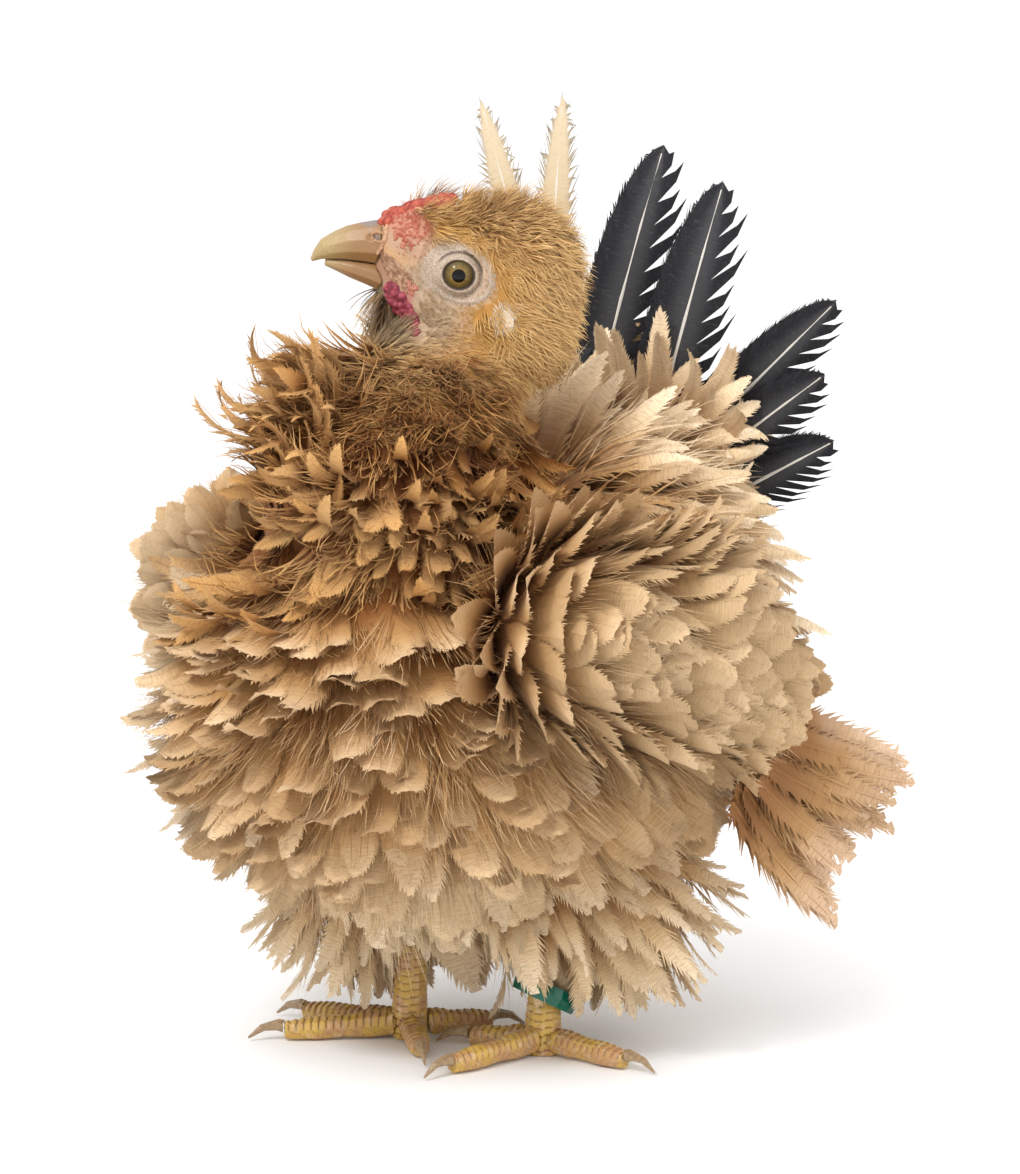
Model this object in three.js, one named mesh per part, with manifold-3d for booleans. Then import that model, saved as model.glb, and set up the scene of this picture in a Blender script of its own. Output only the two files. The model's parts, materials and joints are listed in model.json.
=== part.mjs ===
// A frizzle hen, a buff bantam with black tail feathers, standing still at life size.
// Millimetres, +Z up, the breast towards -Y and her left side towards +X.
import * as THREE from "three";
import { mergeVertices } from "three/addons/utils/BufferGeometryUtils.js";
import Module from "manifold-3d";

const wasm = await Module();
wasm.setup();

// Driving dimensions
const GAP = 0.35; // between touching pieces
const BLEND = 22; // how sharply the lobes of a body run into each other
// She stands with her right foot a little ahead, its toes turned out
const FEET = { left: [30, -5, 0], right: [-9, -17, 0] };
const HEAD_AT = [1, -7, 215.5];
const HEAD_TURN = -48; // degrees, towards her right
const HEAD_LIFT = -18; // degrees, the beak raised
const HEAD_ROLL = 7; // degrees, the crown leaning towards her left
const EYE_RADIUS = 5.8;
const EYE_AT = [9.2, 0, 0];
const TOE_RADIUS = 3.7;
const SHANK_RADIUS = 4.3;
const RING_AT = [FEET.left[0], FEET.left[1] + 1, 17];
const RING_RADIUS = 8.6;
const ROOT_DEPTH = 4; // how far a vane's root is sunk in
const LOWEST_TIP = 6; // no feather comes nearer to the floor

const SIDES = [
  ["left", 1],
  ["right", -1],
];

// Vector and angle shorthands
const vec = (x, y, z) => new THREE.Vector3(x, y, z);
const rad = THREE.MathUtils.degToRad;
const mix = THREE.MathUtils.lerp;

// A lobe is an ellipsoid: its middle and its three half sizes
const lobe = (at, size) => ({ at: vec(...at), size: vec(...size) });
const body = (middle, lobes) => ({ middle: vec(...middle), lobes });
const mirrored = (shape) => ({
  middle: vec(-shape.middle.x, shape.middle.y, shape.middle.z),
  lobes: shape.lobes.map((l) => ({
    at: vec(-l.at.x, l.at.y, l.at.z),
    size: l.size,
  })),
});

const moved = (shape, by) => ({
  middle: shape.middle.clone().add(by),
  lobes: shape.lobes.map((l) => ({ at: l.at.clone().add(by), size: l.size })),
});

// The flesh and underdown, as deep as half the coat
const TORSO = body(
  [0, -2, 100],
  [
    lobe([0, -2, 98], [64, 78, 52]),
    lobe([0, -44, 106], [50, 42, 44]),
    lobe([0, 52, 128], [36, 36, 34]),
  ],
);
const WING = body(
  [67, -4, 115],
  [
    lobe([61, -32, 124], [19, 26, 24]),
    lobe([65, -2, 116], [19, 40, 28]),
    lobe([66, 26, 104], [14, 28, 20]),
  ],
);
const THIGH = body(
  [30, 2, 50],
  [lobe([30, 4, 50], [25, 33, 24]), lobe([29, -2, 38], [14, 15, 16])],
);
const STUB = body([-6, 76, 152], [lobe([-6, 74, 150], [34, 17, 19])]);
const SKULL = body(
  [0, 4, 1],
  [
    lobe([0, 11, 2], [17, 19.5, 19.5]),
    lobe([0, -8, 1], [12, 16.5, 14.5]),
    lobe([0, -3, -10], [12.5, 17, 12]),
    lobe([0, 14, -10], [18, 19, 20]),
  ],
);

// How far a ray from the middle runs before it leaves a lobe; nothing where it misses
function exitDistance(from, dir, { at, size }) {
  const start = from.clone().sub(at).divide(size);
  const step = dir.clone().divide(size);
  const a = step.dot(step);
  const b = start.dot(step);
  const under = b * b - a * (start.dot(start) - 1);
  return under > 0 ? Math.max(0, (Math.sqrt(under) - b) / a) : 0;
}

// The point of a body's surface that lies in a direction from its middle
function surfacePoint(shape, dir, grow = 0) {
  const sum = shape.lobes.reduce(
    (total, l) => total + exitDistance(shape.middle, dir, l) ** BLEND,
    0,
  );
  return shape.middle
    .clone()
    .addScaledVector(dir, sum ** (1 / BLEND) + grow);
}

// A mesh as a solid for joining and cutting
function solidOf(geometry) {
  const bare = geometry.index ? geometry.toNonIndexed() : geometry.clone();
  bare.deleteAttribute("normal");
  bare.deleteAttribute("uv");
  const merged = mergeVertices(bare, 1e-4);
  return new wasm.Manifold(
    new wasm.Mesh({
      numProp: 3,
      vertProperties: merged.attributes.position.array,
      triVerts: new Uint32Array(merged.index.array),
    }),
  );
}

// The largest closed surface of a solid
const largest = (solid) =>
  solid
    .decompose()
    .reduce((best, piece) => (piece.volume() > best.volume() ? piece : best));

// A solid as a mesh's geometry
function meshOf(solid) {
  const { vertProperties, triVerts, numProp } = solid.getMesh();
  const places = new Float32Array((vertProperties.length / numProp) * 3);
  for (let i = 0; i < places.length / 3; i++)
    places.set(vertProperties.subarray(i * numProp, i * numProp + 3), i * 3);
  return new THREE.BufferGeometry()
    .setAttribute("position", new THREE.BufferAttribute(places, 3))
    .setIndex(new THREE.BufferAttribute(new Uint32Array(triVerts), 1));
}

// One closed surface: merging the mesh's near vertices can part a sliver from the rest
const geometryOf = (solid) => meshOf(largest(solidOf(meshOf(largest(solid)))));

// Moves every vertex of a geometry to where `place` says
function reshaped(geometry, place) {
  const spots = geometry.attributes.position;
  const spot = vec(0, 0, 0);
  for (let i = 0; i < spots.count; i++) {
    spot.fromBufferAttribute(spots, i);
    spots.setXYZ(i, ...place(spot.clone()).toArray());
  }
  return geometry;
}

// A rounded body as a solid
const round = (shape, detail, grow = 0) =>
  solidOf(
    reshaped(new THREE.IcosahedronGeometry(1, detail), (p) =>
      surfacePoint(shape, p.normalize(), grow),
    ),
  );

// A tube along a curve with its own half width and half height at each step
function tube(points, widths, sides, steps, { flat = 1, grow = 0 } = {}) {
  const path = new THREE.CatmullRomCurve3(points.map((p) => vec(...p)));
  const across = vec(0, 0, 0);
  const chord = path.getPoint(1).sub(path.getPoint(0)).normalize();
  const aside = Math.abs(chord.z) > 0.7 ? vec(0, 1, 0) : vec(0, 0, 1);
  const raw = new THREE.CylinderGeometry(1, 1, 1, sides, steps);
  return solidOf(
    reshaped(raw, (p) => {
      const t = THREE.MathUtils.clamp(0.5 - p.y, 0, 1);
      const along = path.getTangent(t);
      const place = path.getPoint(t);
      if (t === 0) place.addScaledVector(along, -grow);
      if (t === 1) place.addScaledVector(along, grow);
      const index = t * (widths.length - 1);
      const low = Math.min(Math.floor(index), widths.length - 2);
      const size = mix(widths[low], widths[low + 1], index - low) + grow;
      across.crossVectors(along, aside).normalize();
      const up = vec(0, 0, 0).crossVectors(across, along);
      return place
        .addScaledVector(across, -p.x * size)
        .addScaledVector(up, p.z * size * flat);
    }),
  );
}

// Everything above a level
const above = (level) => {
  const block = new THREE.BoxGeometry(600, 600, 600);
  block.translate(0, 0, 300 + level);
  return solidOf(block);
};

const skin = (colour, roughness = 0.8) =>
  new THREE.MeshStandardMaterial({ color: colour, roughness, metalness: 0 });
const BUFF = skin(0xc79a62, 0.9);
const GOLD = skin(0xc9903f, 0.9);
const HORN = skin(0xb98a4d, 0.45);
const YELLOW = skin(0xc8a23a, 0.55);
const RED = skin(0xc0504a, 0.6);
const WHITE = skin(0xe6ddd0, 0.7);
const IRIS = skin(0x6b5a1c, 0.08);
const BLACK = skin(0x1c1c20, 0.6);
const GREEN = skin(0x0f6b4f, 0.3);

function piece(name, solid, material, parent) {
  const mesh = new THREE.Mesh(geometryOf(solid), material);
  mesh.name = name;
  parent.add(mesh);
  return mesh;
}

const hen = new THREE.Group();

// The head turns and lifts as one, beak, comb and eyes with it
const head = new THREE.Group();
head.position.set(...HEAD_AT);
head.rotation.set(rad(HEAD_LIFT), rad(HEAD_ROLL), rad(HEAD_TURN), "ZYX");
hen.add(head);
head.updateMatrixWorld(true);
const fromHead = (solid) => solid.transform(head.matrixWorld.toArray());

const ball = (at, radius, across = 16, up = 10) => {
  const sphere = new THREE.SphereGeometry(radius, across, up);
  sphere.translate(...at);
  return solidOf(sphere);
};

// Culmen and cutting edge of the beak, in the head's own frame
const UPPER_BEAK = [
  [0, -17, 0.5],
  [0, -23.5, -1.2],
  [0, -30, -3.6],
  [0, -35.8, -7.2],
  [0, -38.6, -11.3],
];
const LOWER_BEAK = [
  [0, -10, -9.5],
  [0, -19, -9.4],
  [0, -27.5, -9.6],
  [0, -35, -10.4],
];
const upperBeak = (grow) =>
  tube(UPPER_BEAK, [6.6, 6.2, 5, 3.1, 0.5], 10, 8, { grow });
const lowerBeak = (grow) =>
  tube(LOWER_BEAK, [6, 5.6, 4.2, 1.6], 10, 6, { flat: 0.75, grow });

function makeHead() {
  const skull = round(SKULL, 4);
  const lids = [];
  const sockets = [];
  for (const side of [1, -1]) {
    const ring = new THREE.TorusGeometry(4.9, 1.1, 5, 14);
    ring.rotateY(Math.PI / 2);
    ring.translate(side * 13.2, 0, 0);
    lids.push(solidOf(ring));
    sockets.push(ball([side * EYE_AT[0], 0, 0], EYE_RADIUS + GAP, 14, 8));
  }
  return lids
    .reduce((sum, lid) => sum.add(lid), skull)
    .subtract(sockets[0])
    .subtract(sockets[1]);
}

const headSolid = makeHead();
const grownSkull = round(SKULL, 4, GAP);
const nostril = (side) => ball([side * 5.6, -25.5, 1], 1.4, 6, 4);
const upper = upperBeak(0)
  .subtract(grownSkull)
  .subtract(nostril(1))
  .subtract(nostril(-1));
const lower = lowerBeak(0).subtract(grownSkull).subtract(upperBeak(GAP));
piece("head", headSolid, GOLD, head);
piece("beak_upper", upper, HORN, head);
piece("beak_lower", lower, HORN, head);

// The comb is a low ridge of small knobs up the forehead
function makeComb() {
  let comb = tube(
    [
      [0, -21.5, 5],
      [0, -17.5, 10.5],
      [0, -12.5, 15],
      [0, -7.5, 16.8],
    ],
    [2.6, 3.6, 4, 3],
    8,
    6,
    { flat: 1.1 },
  );
  for (let i = 0; i < 6; i++) {
    const t = i / 5;
    const at = [(i % 2 ? 1 : -1) * 1.6, mix(-19.5, -8, t), mix(9, 19.5, t ** 0.7)];
    comb = comb.add(ball(at, mix(2.3, 2.9, Math.sin(Math.PI * t)), 6, 4));
  }
  return comb.subtract(grownSkull).subtract(upperBeak(GAP));
}
piece("comb", makeComb(), RED, head);

const hangingPieces = [];
for (const [name, side] of SIDES) {
  piece(`eye_${name}`, ball([side * EYE_AT[0], 0, 0], EYE_RADIUS, 14, 8), IRIS, head);
  const wattle = (grow) =>
    tube(
      [
        [side * 8.5, -13, -9],
        [side * 10.5, -14, -15],
        [side * 10.5, -12, -21],
      ],
      [2.4, 3.6, 1.6],
      8,
      5,
      { flat: 0.7, grow },
    );
  const hanging = wattle(0)
    .subtract(grownSkull)
    .subtract(lowerBeak(GAP))
    .subtract(upperBeak(GAP));
  piece(`wattle_${name}`, hanging, RED, head);
  const earlobe = (grow) =>
    tube(
      [
        [side * 13, 13, -3],
        [side * 17, 16, -7],
        [side * 16, 17.5, -12],
      ],
      [2.6, 3.6, 1.8],
      8,
      5,
      { flat: 0.7, grow },
    );
  piece(`earlobe_${name}`, earlobe(0).subtract(grownSkull), WHITE, head);
  hangingPieces.push(wattle(GAP), earlobe(GAP));
}

// A seeded draw, so that each build grows the same feathers
let seed = 7;
const draw = (low = 0, high = 1) => {
  seed = (seed * 1664525 + 1013904223) % 4294967296;
  return low + ((high - low) * seed) / 4294967296;
};

// A vane leaves its root along `lie`, lifted towards `out` by `rise` degrees, and has
// bent to `curl` degrees at its tip. Its section is a triangle with the shaft beneath.
const VANE_WIDTHS = [0.4, 0.8, 1, 0.96, 0.42];
function vane({ root, lie, out, length, width, rise, curl, shaft = 1.3, steps = 3 }, grow = 0) {
  const aside = vec(0, 0, 0).crossVectors(lie, out);
  const bend = (t) => rad(rise + (curl - rise) * t ** 1.3);
  const rings = [{ at: root.clone(), turn: rad(rise) }];
  const fine = 4;
  for (let i = 1; i <= steps * fine; i++) {
    const turn = bend((i - 0.5) / (steps * fine));
    const at = rings[i - 1].at.clone();
    const step = (length + grow) / (steps * fine);
    at.addScaledVector(lie, Math.cos(turn) * step);
    at.addScaledVector(out, Math.sin(turn) * step);
    rings.push({ at, turn: bend(i / (steps * fine)) });
  }
  const raw = new THREE.CylinderGeometry(1, 1, 1, 3, steps);
  return solidOf(
    reshaped(raw, (p) => {
      const t = THREE.MathUtils.clamp(0.5 - p.y, 0, 1);
      const { at, turn } = rings[Math.round(t * steps) * fine];
      const index = t * (VANE_WIDTHS.length - 1);
      const low = Math.min(Math.floor(index), VANE_WIDTHS.length - 2);
      const size = mix(VANE_WIDTHS[low], VANE_WIDTHS[low + 1], index - low);
      const across = (p.x / 0.866) * ((size * width) / 2 + 2 * grow);
      const under = ((p.z + 0.5) / 1.5) * (mix(shaft, shaft * 0.5, t) + 3 * grow) - grow;
      return at
        .clone()
        .addScaledVector(aside, across)
        .addScaledVector(lie, Math.sin(turn) * under)
        .addScaledVector(out, -Math.cos(turn) * under);
    }),
  );
}

// The solids that a new vane has to stay clear of
const placed = [];
const claim = (name, solid) => placed.push({ name, solid, box: solid.boundingBox() });
function isClear(solid, own) {
  const { min, max } = solid.boundingBox();
  const apart = (box) => [0, 1, 2].some((i) => min[i] > box.max[i] || max[i] < box.min[i]);
  return (
    min[2] > LOWEST_TIP &&
    placed.every(({ name, solid: other, box }) => {
      if (name === own || apart(box)) return true;
      return other.intersect(solid).isEmpty();
    })
  );
}

// A core with its vanes: one that would cross another node is shortened and lifted, or left out
function feathered(name, core, shapes) {
  const vanes = [];
  for (const shape of shapes)
    for (const [part, lift] of [
      [1, 0],
      [0.86, 10],
      [0.72, 24],
      [0.6, 38],
    ]) {
      const tried = { ...shape, length: shape.length * part, rise: shape.rise + lift };
      if (!isClear(vane(tried, GAP), name)) continue;
      vanes.push(vane(tried));
      break;
    }
  return wasm.Manifold.union([core, ...vanes]);
}

// Where a body's surface lies in a direction, and which way is out there
function skinAt(shape, dir) {
  const at = surfacePoint(shape, dir);
  const aside = vec(-dir.y, dir.x, 0.01).normalize();
  const up = vec(0, 0, 0).crossVectors(dir, aside);
  const near = (by) => surfacePoint(shape, dir.clone().addScaledVector(by, 0.08).normalize());
  const out = vec(0, 0, 0).crossVectors(near(aside).sub(at), near(up).sub(at)).normalize();
  return { at, out: out.dot(dir) > 0 ? out : out.negate() };
}

// A vane's shape where a body is looked at in a direction, its root sunk in
function rootedAt(shape, dir, towards, sizes) {
  const { at, out } = skinAt(shape, dir);
  const lie = towards(at).addScaledVector(out, -towards(at).dot(out)).normalize();
  return { root: at.addScaledVector(out, -ROOT_DEPTH), lie, out, ...sizes };
}

// Directions spread evenly over a ball, each a little off its place
function spread(count) {
  return Array.from({ length: count }, (_, i) => {
    const z = 1 - (2 * i + 1) / count;
    const turn = i * Math.PI * (3 - Math.sqrt(5)) + draw(-0.06, 0.06);
    const flat = Math.sqrt(1 - z * z);
    return vec(flat * Math.cos(turn), flat * Math.sin(turn), z);
  });
}

// The body's cores, each seated on the one that it grows from
const torsoCore = round(TORSO, 4);
const grownTorso = round(TORSO, 4, GAP);
const NECK_PATH = new THREE.CatmullRomCurve3([
  vec(0, -34, 138),
  vec(-2, -25, 168),
  vec(3, -4, 196),
]);
const NECK_WIDTHS = [38, 32, 25, 15];
const neckTube = (grow) =>
  tube(
    NECK_PATH.points.map((p) => p.toArray()),
    NECK_WIDTHS,
    14,
    6,
    { grow },
  );
claim("torso", torsoCore);
hen.updateMatrixWorld(true);
const neckCore = hangingPieces.reduce(
  (core, grown) => core.subtract(fromHead(grown)),
  neckTube(0).subtract(grownTorso).subtract(fromHead(grownSkull)),
);
head.traverse((part) => {
  if (part.isMesh) claim(part.name, fromHead(solidOf(part.geometry)));
});

// Legs
const floor = above(0);
// Each toe's angle outwards from straight ahead, and its length
const TOES = {
  left: [
    ["inner", -66, 21],
    ["middle", -5, 34],
    ["outer", 92, 29],
    ["hind", -142, 24],
  ],
  right: [
    ["inner", -50, 24],
    ["middle", 42, 35],
    ["outer", 80, 35],
    ["hind", -152, 24],
  ],
};
const shankSolids = {};
function makeLeg(name, side) {
  const leg = new THREE.Group();
  leg.position.set(...FEET[name]);
  hen.add(leg);
  leg.updateMatrixWorld(true);
  const down = leg.matrixWorld.clone().invert().toArray();
  const shank = (grow) =>
    tube(
      [
        [0, 0.5, -3],
        [0, 0, 7],
        [0, 1, 22],
        [0, 3, 46],
      ],
      [5.4, 5.2, SHANK_RADIUS, 4.6],
      10,
      5,
      { grow },
    );
  const place = leg.matrixWorld.toArray();
  const grownTorsoHere = grownTorso.transform(down);
  const shankSolid = shank(0).subtract(grownTorsoHere).intersect(floor);
  piece(`shank_${name}`, shankSolid, YELLOW, leg);
  claim(`shank_${name}`, shankSolid.transform(place));
  shankSolids[name] = shank(GAP).transform(place);
  let inTheWay = shank(GAP);
  for (const [toe, angle, length] of TOES[name]) {
    const turned = side * angle;
    const turn = new THREE.Group();
    turn.rotation.z = rad(turned);
    leg.add(turn);
    const toeTube = (grow) =>
      tube(
        [
          [0, -2, 4.4],
          [0, -length * 0.4, 3.7],
          [0, -length, 2.8],
        ],
        [4.1, TOE_RADIUS, 3.9, 3.2, 3.5, 2.6],
        8,
        5,
        { grow },
      );
    const toeSolid = toeTube(0)
      .subtract(inTheWay.rotate([0, 0, -turned]))
      .intersect(floor);
    inTheWay = inTheWay.add(toeTube(GAP).rotate([0, 0, turned]));
    piece(`toe_${name}_${toe}`, toeSolid, YELLOW, turn);
    claim(`toe_${name}_${toe}`, toeSolid.rotate([0, 0, turned]).transform(place));
    const claw = tube(
      [
        [0, -length + 2.5, 3.4],
        [0, -length - 4, 4.6],
        [0, -length - 10, 1],
      ],
      [2, 1.5, 0.3],
      6,
      3,
    );
    piece(`claw_${name}_${toe}`, claw.subtract(toeTube(GAP)).intersect(floor), HORN, turn);
  }
}

// The legs, ring and floor are in place before the feathers that hang round them
const wingShapes = { left: WING, right: mirrored(WING) };
const thighShapes = { left: THIGH, right: moved(mirrored(THIGH), vec(13, -11, 0)) };
for (const [name, side] of SIDES) makeLeg(name, side);

// Her leg ring is a loose plastic band, lower behind
const ring = new THREE.TorusGeometry(RING_RADIUS, 1, 6, 14);
ring.scale(1, 1, 3);
ring.rotateX(rad(-26));
ring.rotateY(rad(12));
ring.translate(...RING_AT);
piece("leg_ring", solidOf(ring), GREEN, hen);
claim("leg_ring", solidOf(ring));

// The cores of wings, thighs and tail, seated on the torso's
const wingCores = {};
const thighCores = {};
for (const [name, side] of SIDES) {
  wingCores[name] = round(wingShapes[name], 2).subtract(grownTorso).subtract(neckTube(GAP));
  claim(`wing_${name}`, wingCores[name]);
  const half = new THREE.BoxGeometry(300, 600, 600);
  half.translate(side * (150 + GAP), 0, 0);
  thighCores[name] = round(thighShapes[name], 2)
    .subtract(grownTorso)
    .intersect(solidOf(half))
    .subtract(ball(RING_AT, 13, 8, 5))
    .subtract(shankSolids[name]);
  claim(`thigh_${name}`, thighCores[name]);
}
const tailCore = round(STUB, 4).subtract(grownTorso);
claim("tail", tailCore);

// Neck: hackles that hang down the neck, then curl out and up
function makeNeck() {
  const rows = 5;
  const shapes = [];
  for (let row = 0; row < rows; row++) {
    const t = mix(0.12, 0.86, row / (rows - 1));
    const along = NECK_PATH.getTangent(t);
    const around = Math.round(mix(9, 6, row / (rows - 1)));
    for (let i = 0; i < around; i++) {
      const turn = ((i + (row % 2) / 2) / around) * 2 * Math.PI + draw(-0.1, 0.1);
      const flat = vec(Math.cos(turn), Math.sin(turn), 0);
      const out = flat.addScaledVector(along, -flat.dot(along)).normalize();
      const index = t * (NECK_WIDTHS.length - 1);
      const low = Math.floor(index);
      const radius = mix(NECK_WIDTHS[low], NECK_WIDTHS[low + 1], index - low);
      shapes.push({
        root: NECK_PATH.getPoint(t).addScaledVector(out, radius - ROOT_DEPTH),
        lie: along.clone().negate(),
        out,
        length: mix(47, 38, t) * draw(0.88, 1.1),
        width: mix(25, 17, t),
        rise: 17,
        curl: draw(80, 115),
      });
    }
  }
  return feathered("neck", neckCore, shapes);
}
const neckSolid = makeNeck();
claim("neck", neckSolid);
piece("neck", neckSolid, BUFF, hen);

// Tail: one fan of long feathers, with curled coverts in front and behind its root
// Where each feather is rooted and where its tip is; the last few fill her right side
const TAIL_FEATHERS = [
  [vec(-28, 80, 160), vec(-91, 97, 252)],
  [vec(-28, 77, 163), vec(-66, 92, 232)],
  [vec(-36, 76, 160), vec(-45, 98, 256)],
  [vec(-32, 84, 156), vec(-17, 98, 243)],
  [vec(-6, 82, 156), vec(8, 97, 233)],
  [vec(0, 86, 152), vec(46, 101, 201)],
  [vec(6, 83, 148), vec(47, 95, 181)],
  [vec(12, 86, 140), vec(46, 101, 161)],
  [vec(-30, 86, 154), vec(-88, 105, 220)],
  [vec(-34, 82, 148), vec(-92, 97, 190)],
  [vec(-30, 86, 142), vec(-84, 101, 160)],
];
function makeTail() {
  const shapes = TAIL_FEATHERS.map(([root, tip]) => {
    const lie = tip.clone().sub(root).normalize();
    const out = vec(0, 1, 0).addScaledVector(lie, -lie.y).normalize();
    return {
      root,
      lie,
      out,
      length: root.distanceTo(tip),
      width: 18,
      rise: -4,
      curl: draw(4, 12),
      shaft: 1.6,
      steps: 5,
    };
  });
  for (const turn of [-66, -22, 22, 66])
    for (const front of [-1, 1])
      shapes.push({
        root: vec((turn / 90) * 28 - 6, 76 + front * 8, 156 - (Math.abs(turn) / 90) * 10),
        lie: vec(Math.sin(rad(turn)), 0, Math.cos(rad(turn))),
        out: vec(0, front, 0),
        length: draw(40, 50),
        width: 17,
        rise: 16,
        curl: draw(100, 130),
      });
  return feathered("tail", tailCore, shapes);
}
const tailSolid = makeTail();
claim("tail", tailSolid);
piece("tail", tailSolid, BLACK, hen);

// Wings: rows of rounded coverts, with the flight feathers drooping behind
function makeWing(name, side) {
  const front = vec(side * 60, -62, 132);
  const backwards = (at) => at.clone().sub(front).normalize().add(vec(0, 0.7, -0.15));
  const shapes = spread(38)
    .filter((dir) => dir.x * side > (dir.y < 0 ? 0.02 : 0.25))
    .map((dir) =>
      rootedAt(wingShapes[name], dir, backwards, {
        length: draw(28, 33),
        width: 24,
        rise: 14,
        curl: draw(40, 70),
      }),
    );
  for (let i = 0; i < 7; i++) {
    const lie = vec(side * 0.06, mix(0.72, 0.3, i / 6), mix(-0.66, -0.95, i / 6)).normalize();
    const outward = vec(side, 0, 0);
    shapes.push({
      root: vec(side * (70 - i * 0.6), mix(44, 20, i / 6), mix(104, 88, i / 6)),
      lie,
      out: outward.addScaledVector(lie, -outward.dot(lie)).normalize(),
      length: mix(47, 57, i / 6),
      width: 12,
      rise: 4,
      curl: draw(24, 48),
    });
  }
  return feathered(`wing_${name}`, wingCores[name], shapes);
}

// Thighs: feathers that hang over the shank, the outer ones nearly to the floor
function makeThigh(name, side) {
  const skirt = ({ x, y }) => THREE.MathUtils.smoothstep(Math.max(x * side, y), 0, 0.5);
  const shapes = spread(22)
    .filter((dir) => dir.z < 0.3 && dir.z > -0.75)
    .filter((dir) => surfacePoint(thighShapes[name], dir).x * side > 2)
    .map((dir) =>
      rootedAt(thighShapes[name], dir, () => vec(side * 0.35 * skirt(dir), 0.3, -1), {
        length: mix(20, 41, skirt(dir)) * draw(0.9, 1.05),
        width: 18,
        rise: 16,
        curl: mix(60, 24, skirt(dir)) * draw(0.8, 1.2),
      }),
    );
  return feathered(`thigh_${name}`, thighCores[name], shapes);
}

for (const [name, side] of SIDES) {
  const wing = makeWing(name, side);
  claim(`wing_${name}`, wing);
  piece(`wing_${name}`, wing, BUFF, hen);
  const thigh = makeThigh(name, side);
  claim(`thigh_${name}`, thigh);
  piece(`thigh_${name}`, thigh, BUFF, hen);
}

// Torso: the breast's feathers curl forward in shelves, the belly's hang as a fringe and the
// saddle's reach back in long arcs
const NECK_BASE = vec(0, -30, 175);
function makeTorso() {
  const away = (at) => at.clone().sub(NECK_BASE).normalize().add(vec(0, 0.25, -0.15));
  const shapes = spread(116).map((dir) => {
    const { at } = skinAt(TORSO, dir);
    const low = THREE.MathUtils.smoothstep(-at.z, -78, -45);
    const free = THREE.MathUtils.smoothstep(at.distanceTo(NECK_BASE), 40, 80);
    const saddle = at.z > 120 && at.y > 0;
    const vent = THREE.MathUtils.smoothstep(at.y, 0, 45) * low;
    const lie = () => away(at).add(vec(0, 0, -0.7 * vent));
    return rootedAt(TORSO, dir, lie, {
      length: (saddle ? 40 : mix(40, 37, low) + 9 * vent) * draw(0.92, 1.08),
      width: saddle ? 19 : 27,
      rise: mix(6, 17, free),
      curl: (saddle ? 110 : mix(88, 50, low) * mix(0.4, 1, free)) * draw(0.85, 1.15),
    });
  });
  return feathered("torso", torsoCore, shapes);
}
piece("torso", makeTorso(), BUFF, hen);

// The floor under the middle of the whole bird is the origin
const bounds = new THREE.Box3().setFromObject(hen);
hen.position.set(-(bounds.min.x + bounds.max.x) / 2, -(bounds.min.y + bounds.max.y) / 2, 0);

export default hen;
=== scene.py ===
import json
import math

import bmesh
import bpy
import numpy as np
from mathutils import Euler, Matrix, Vector
from mathutils.bvhtree import BVHTree
from mathutils.kdtree import KDTree

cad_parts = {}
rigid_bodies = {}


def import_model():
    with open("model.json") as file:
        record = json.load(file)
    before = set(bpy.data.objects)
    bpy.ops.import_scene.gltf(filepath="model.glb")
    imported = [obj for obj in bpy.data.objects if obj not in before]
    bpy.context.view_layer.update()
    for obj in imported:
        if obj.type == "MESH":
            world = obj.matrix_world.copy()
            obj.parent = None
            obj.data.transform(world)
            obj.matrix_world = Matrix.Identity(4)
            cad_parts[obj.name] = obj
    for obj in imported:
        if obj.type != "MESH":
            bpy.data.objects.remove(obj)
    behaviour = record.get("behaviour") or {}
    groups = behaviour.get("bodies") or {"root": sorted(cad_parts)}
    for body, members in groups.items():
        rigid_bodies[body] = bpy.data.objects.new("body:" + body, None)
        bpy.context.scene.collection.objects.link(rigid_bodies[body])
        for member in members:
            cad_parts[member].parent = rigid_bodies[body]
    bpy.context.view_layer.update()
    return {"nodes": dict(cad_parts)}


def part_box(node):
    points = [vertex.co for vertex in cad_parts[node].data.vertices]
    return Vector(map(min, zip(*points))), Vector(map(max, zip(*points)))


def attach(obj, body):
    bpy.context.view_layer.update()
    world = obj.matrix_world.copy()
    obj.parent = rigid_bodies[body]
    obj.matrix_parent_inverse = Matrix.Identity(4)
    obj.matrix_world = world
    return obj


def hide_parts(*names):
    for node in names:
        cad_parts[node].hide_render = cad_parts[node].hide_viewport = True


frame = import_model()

# The hen's own frame is in millimetres, with her breast towards -Y and her left side towards +X.
# Her head turns and lifts as one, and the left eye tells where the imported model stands.
HEAD = Matrix.Translation((1, -7, 215.5)) @ Euler(
    (math.radians(-18), math.radians(7), math.radians(-48)), "XYZ"
).to_matrix().to_4x4()
EYE_AT = 9.2
eye_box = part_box("eye_left")
SHIFT = np.array((eye_box[0] + eye_box[1]) / 2) * 1000 - np.array(HEAD @ Vector((EYE_AT, 0, 0)))


def metres(points):
    return (np.asarray(points, float) + SHIFT) / 1000


def millimetres(points):
    return np.asarray(points, float) * 1000 - SHIFT


def in_head(points):
    turn = np.array(HEAD)
    return np.asarray(points, float) @ turn[:3, :3].T + turn[:3, 3]


# The studio: a camera at the photograph's angle, a pale floor, one large soft light overhead to the
# left of the camera and a weaker one to the right, in an even white surround.
AZIMUTH, ELEVATION, DISTANCE = math.radians(42), math.radians(9), 1300
FRAME_HEIGHT = 328.7  # of the view at the bird, in millimetres
right = Vector((math.cos(AZIMUTH), math.sin(AZIMUTH), 0))
back = Vector(
    (
        math.sin(AZIMUTH) * math.cos(ELEVATION),
        -math.cos(AZIMUTH) * math.cos(ELEVATION),
        math.sin(ELEVATION),
    )
)
up = back.cross(right)
target = Vector((-5.7, 21.0, 122.8))


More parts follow.
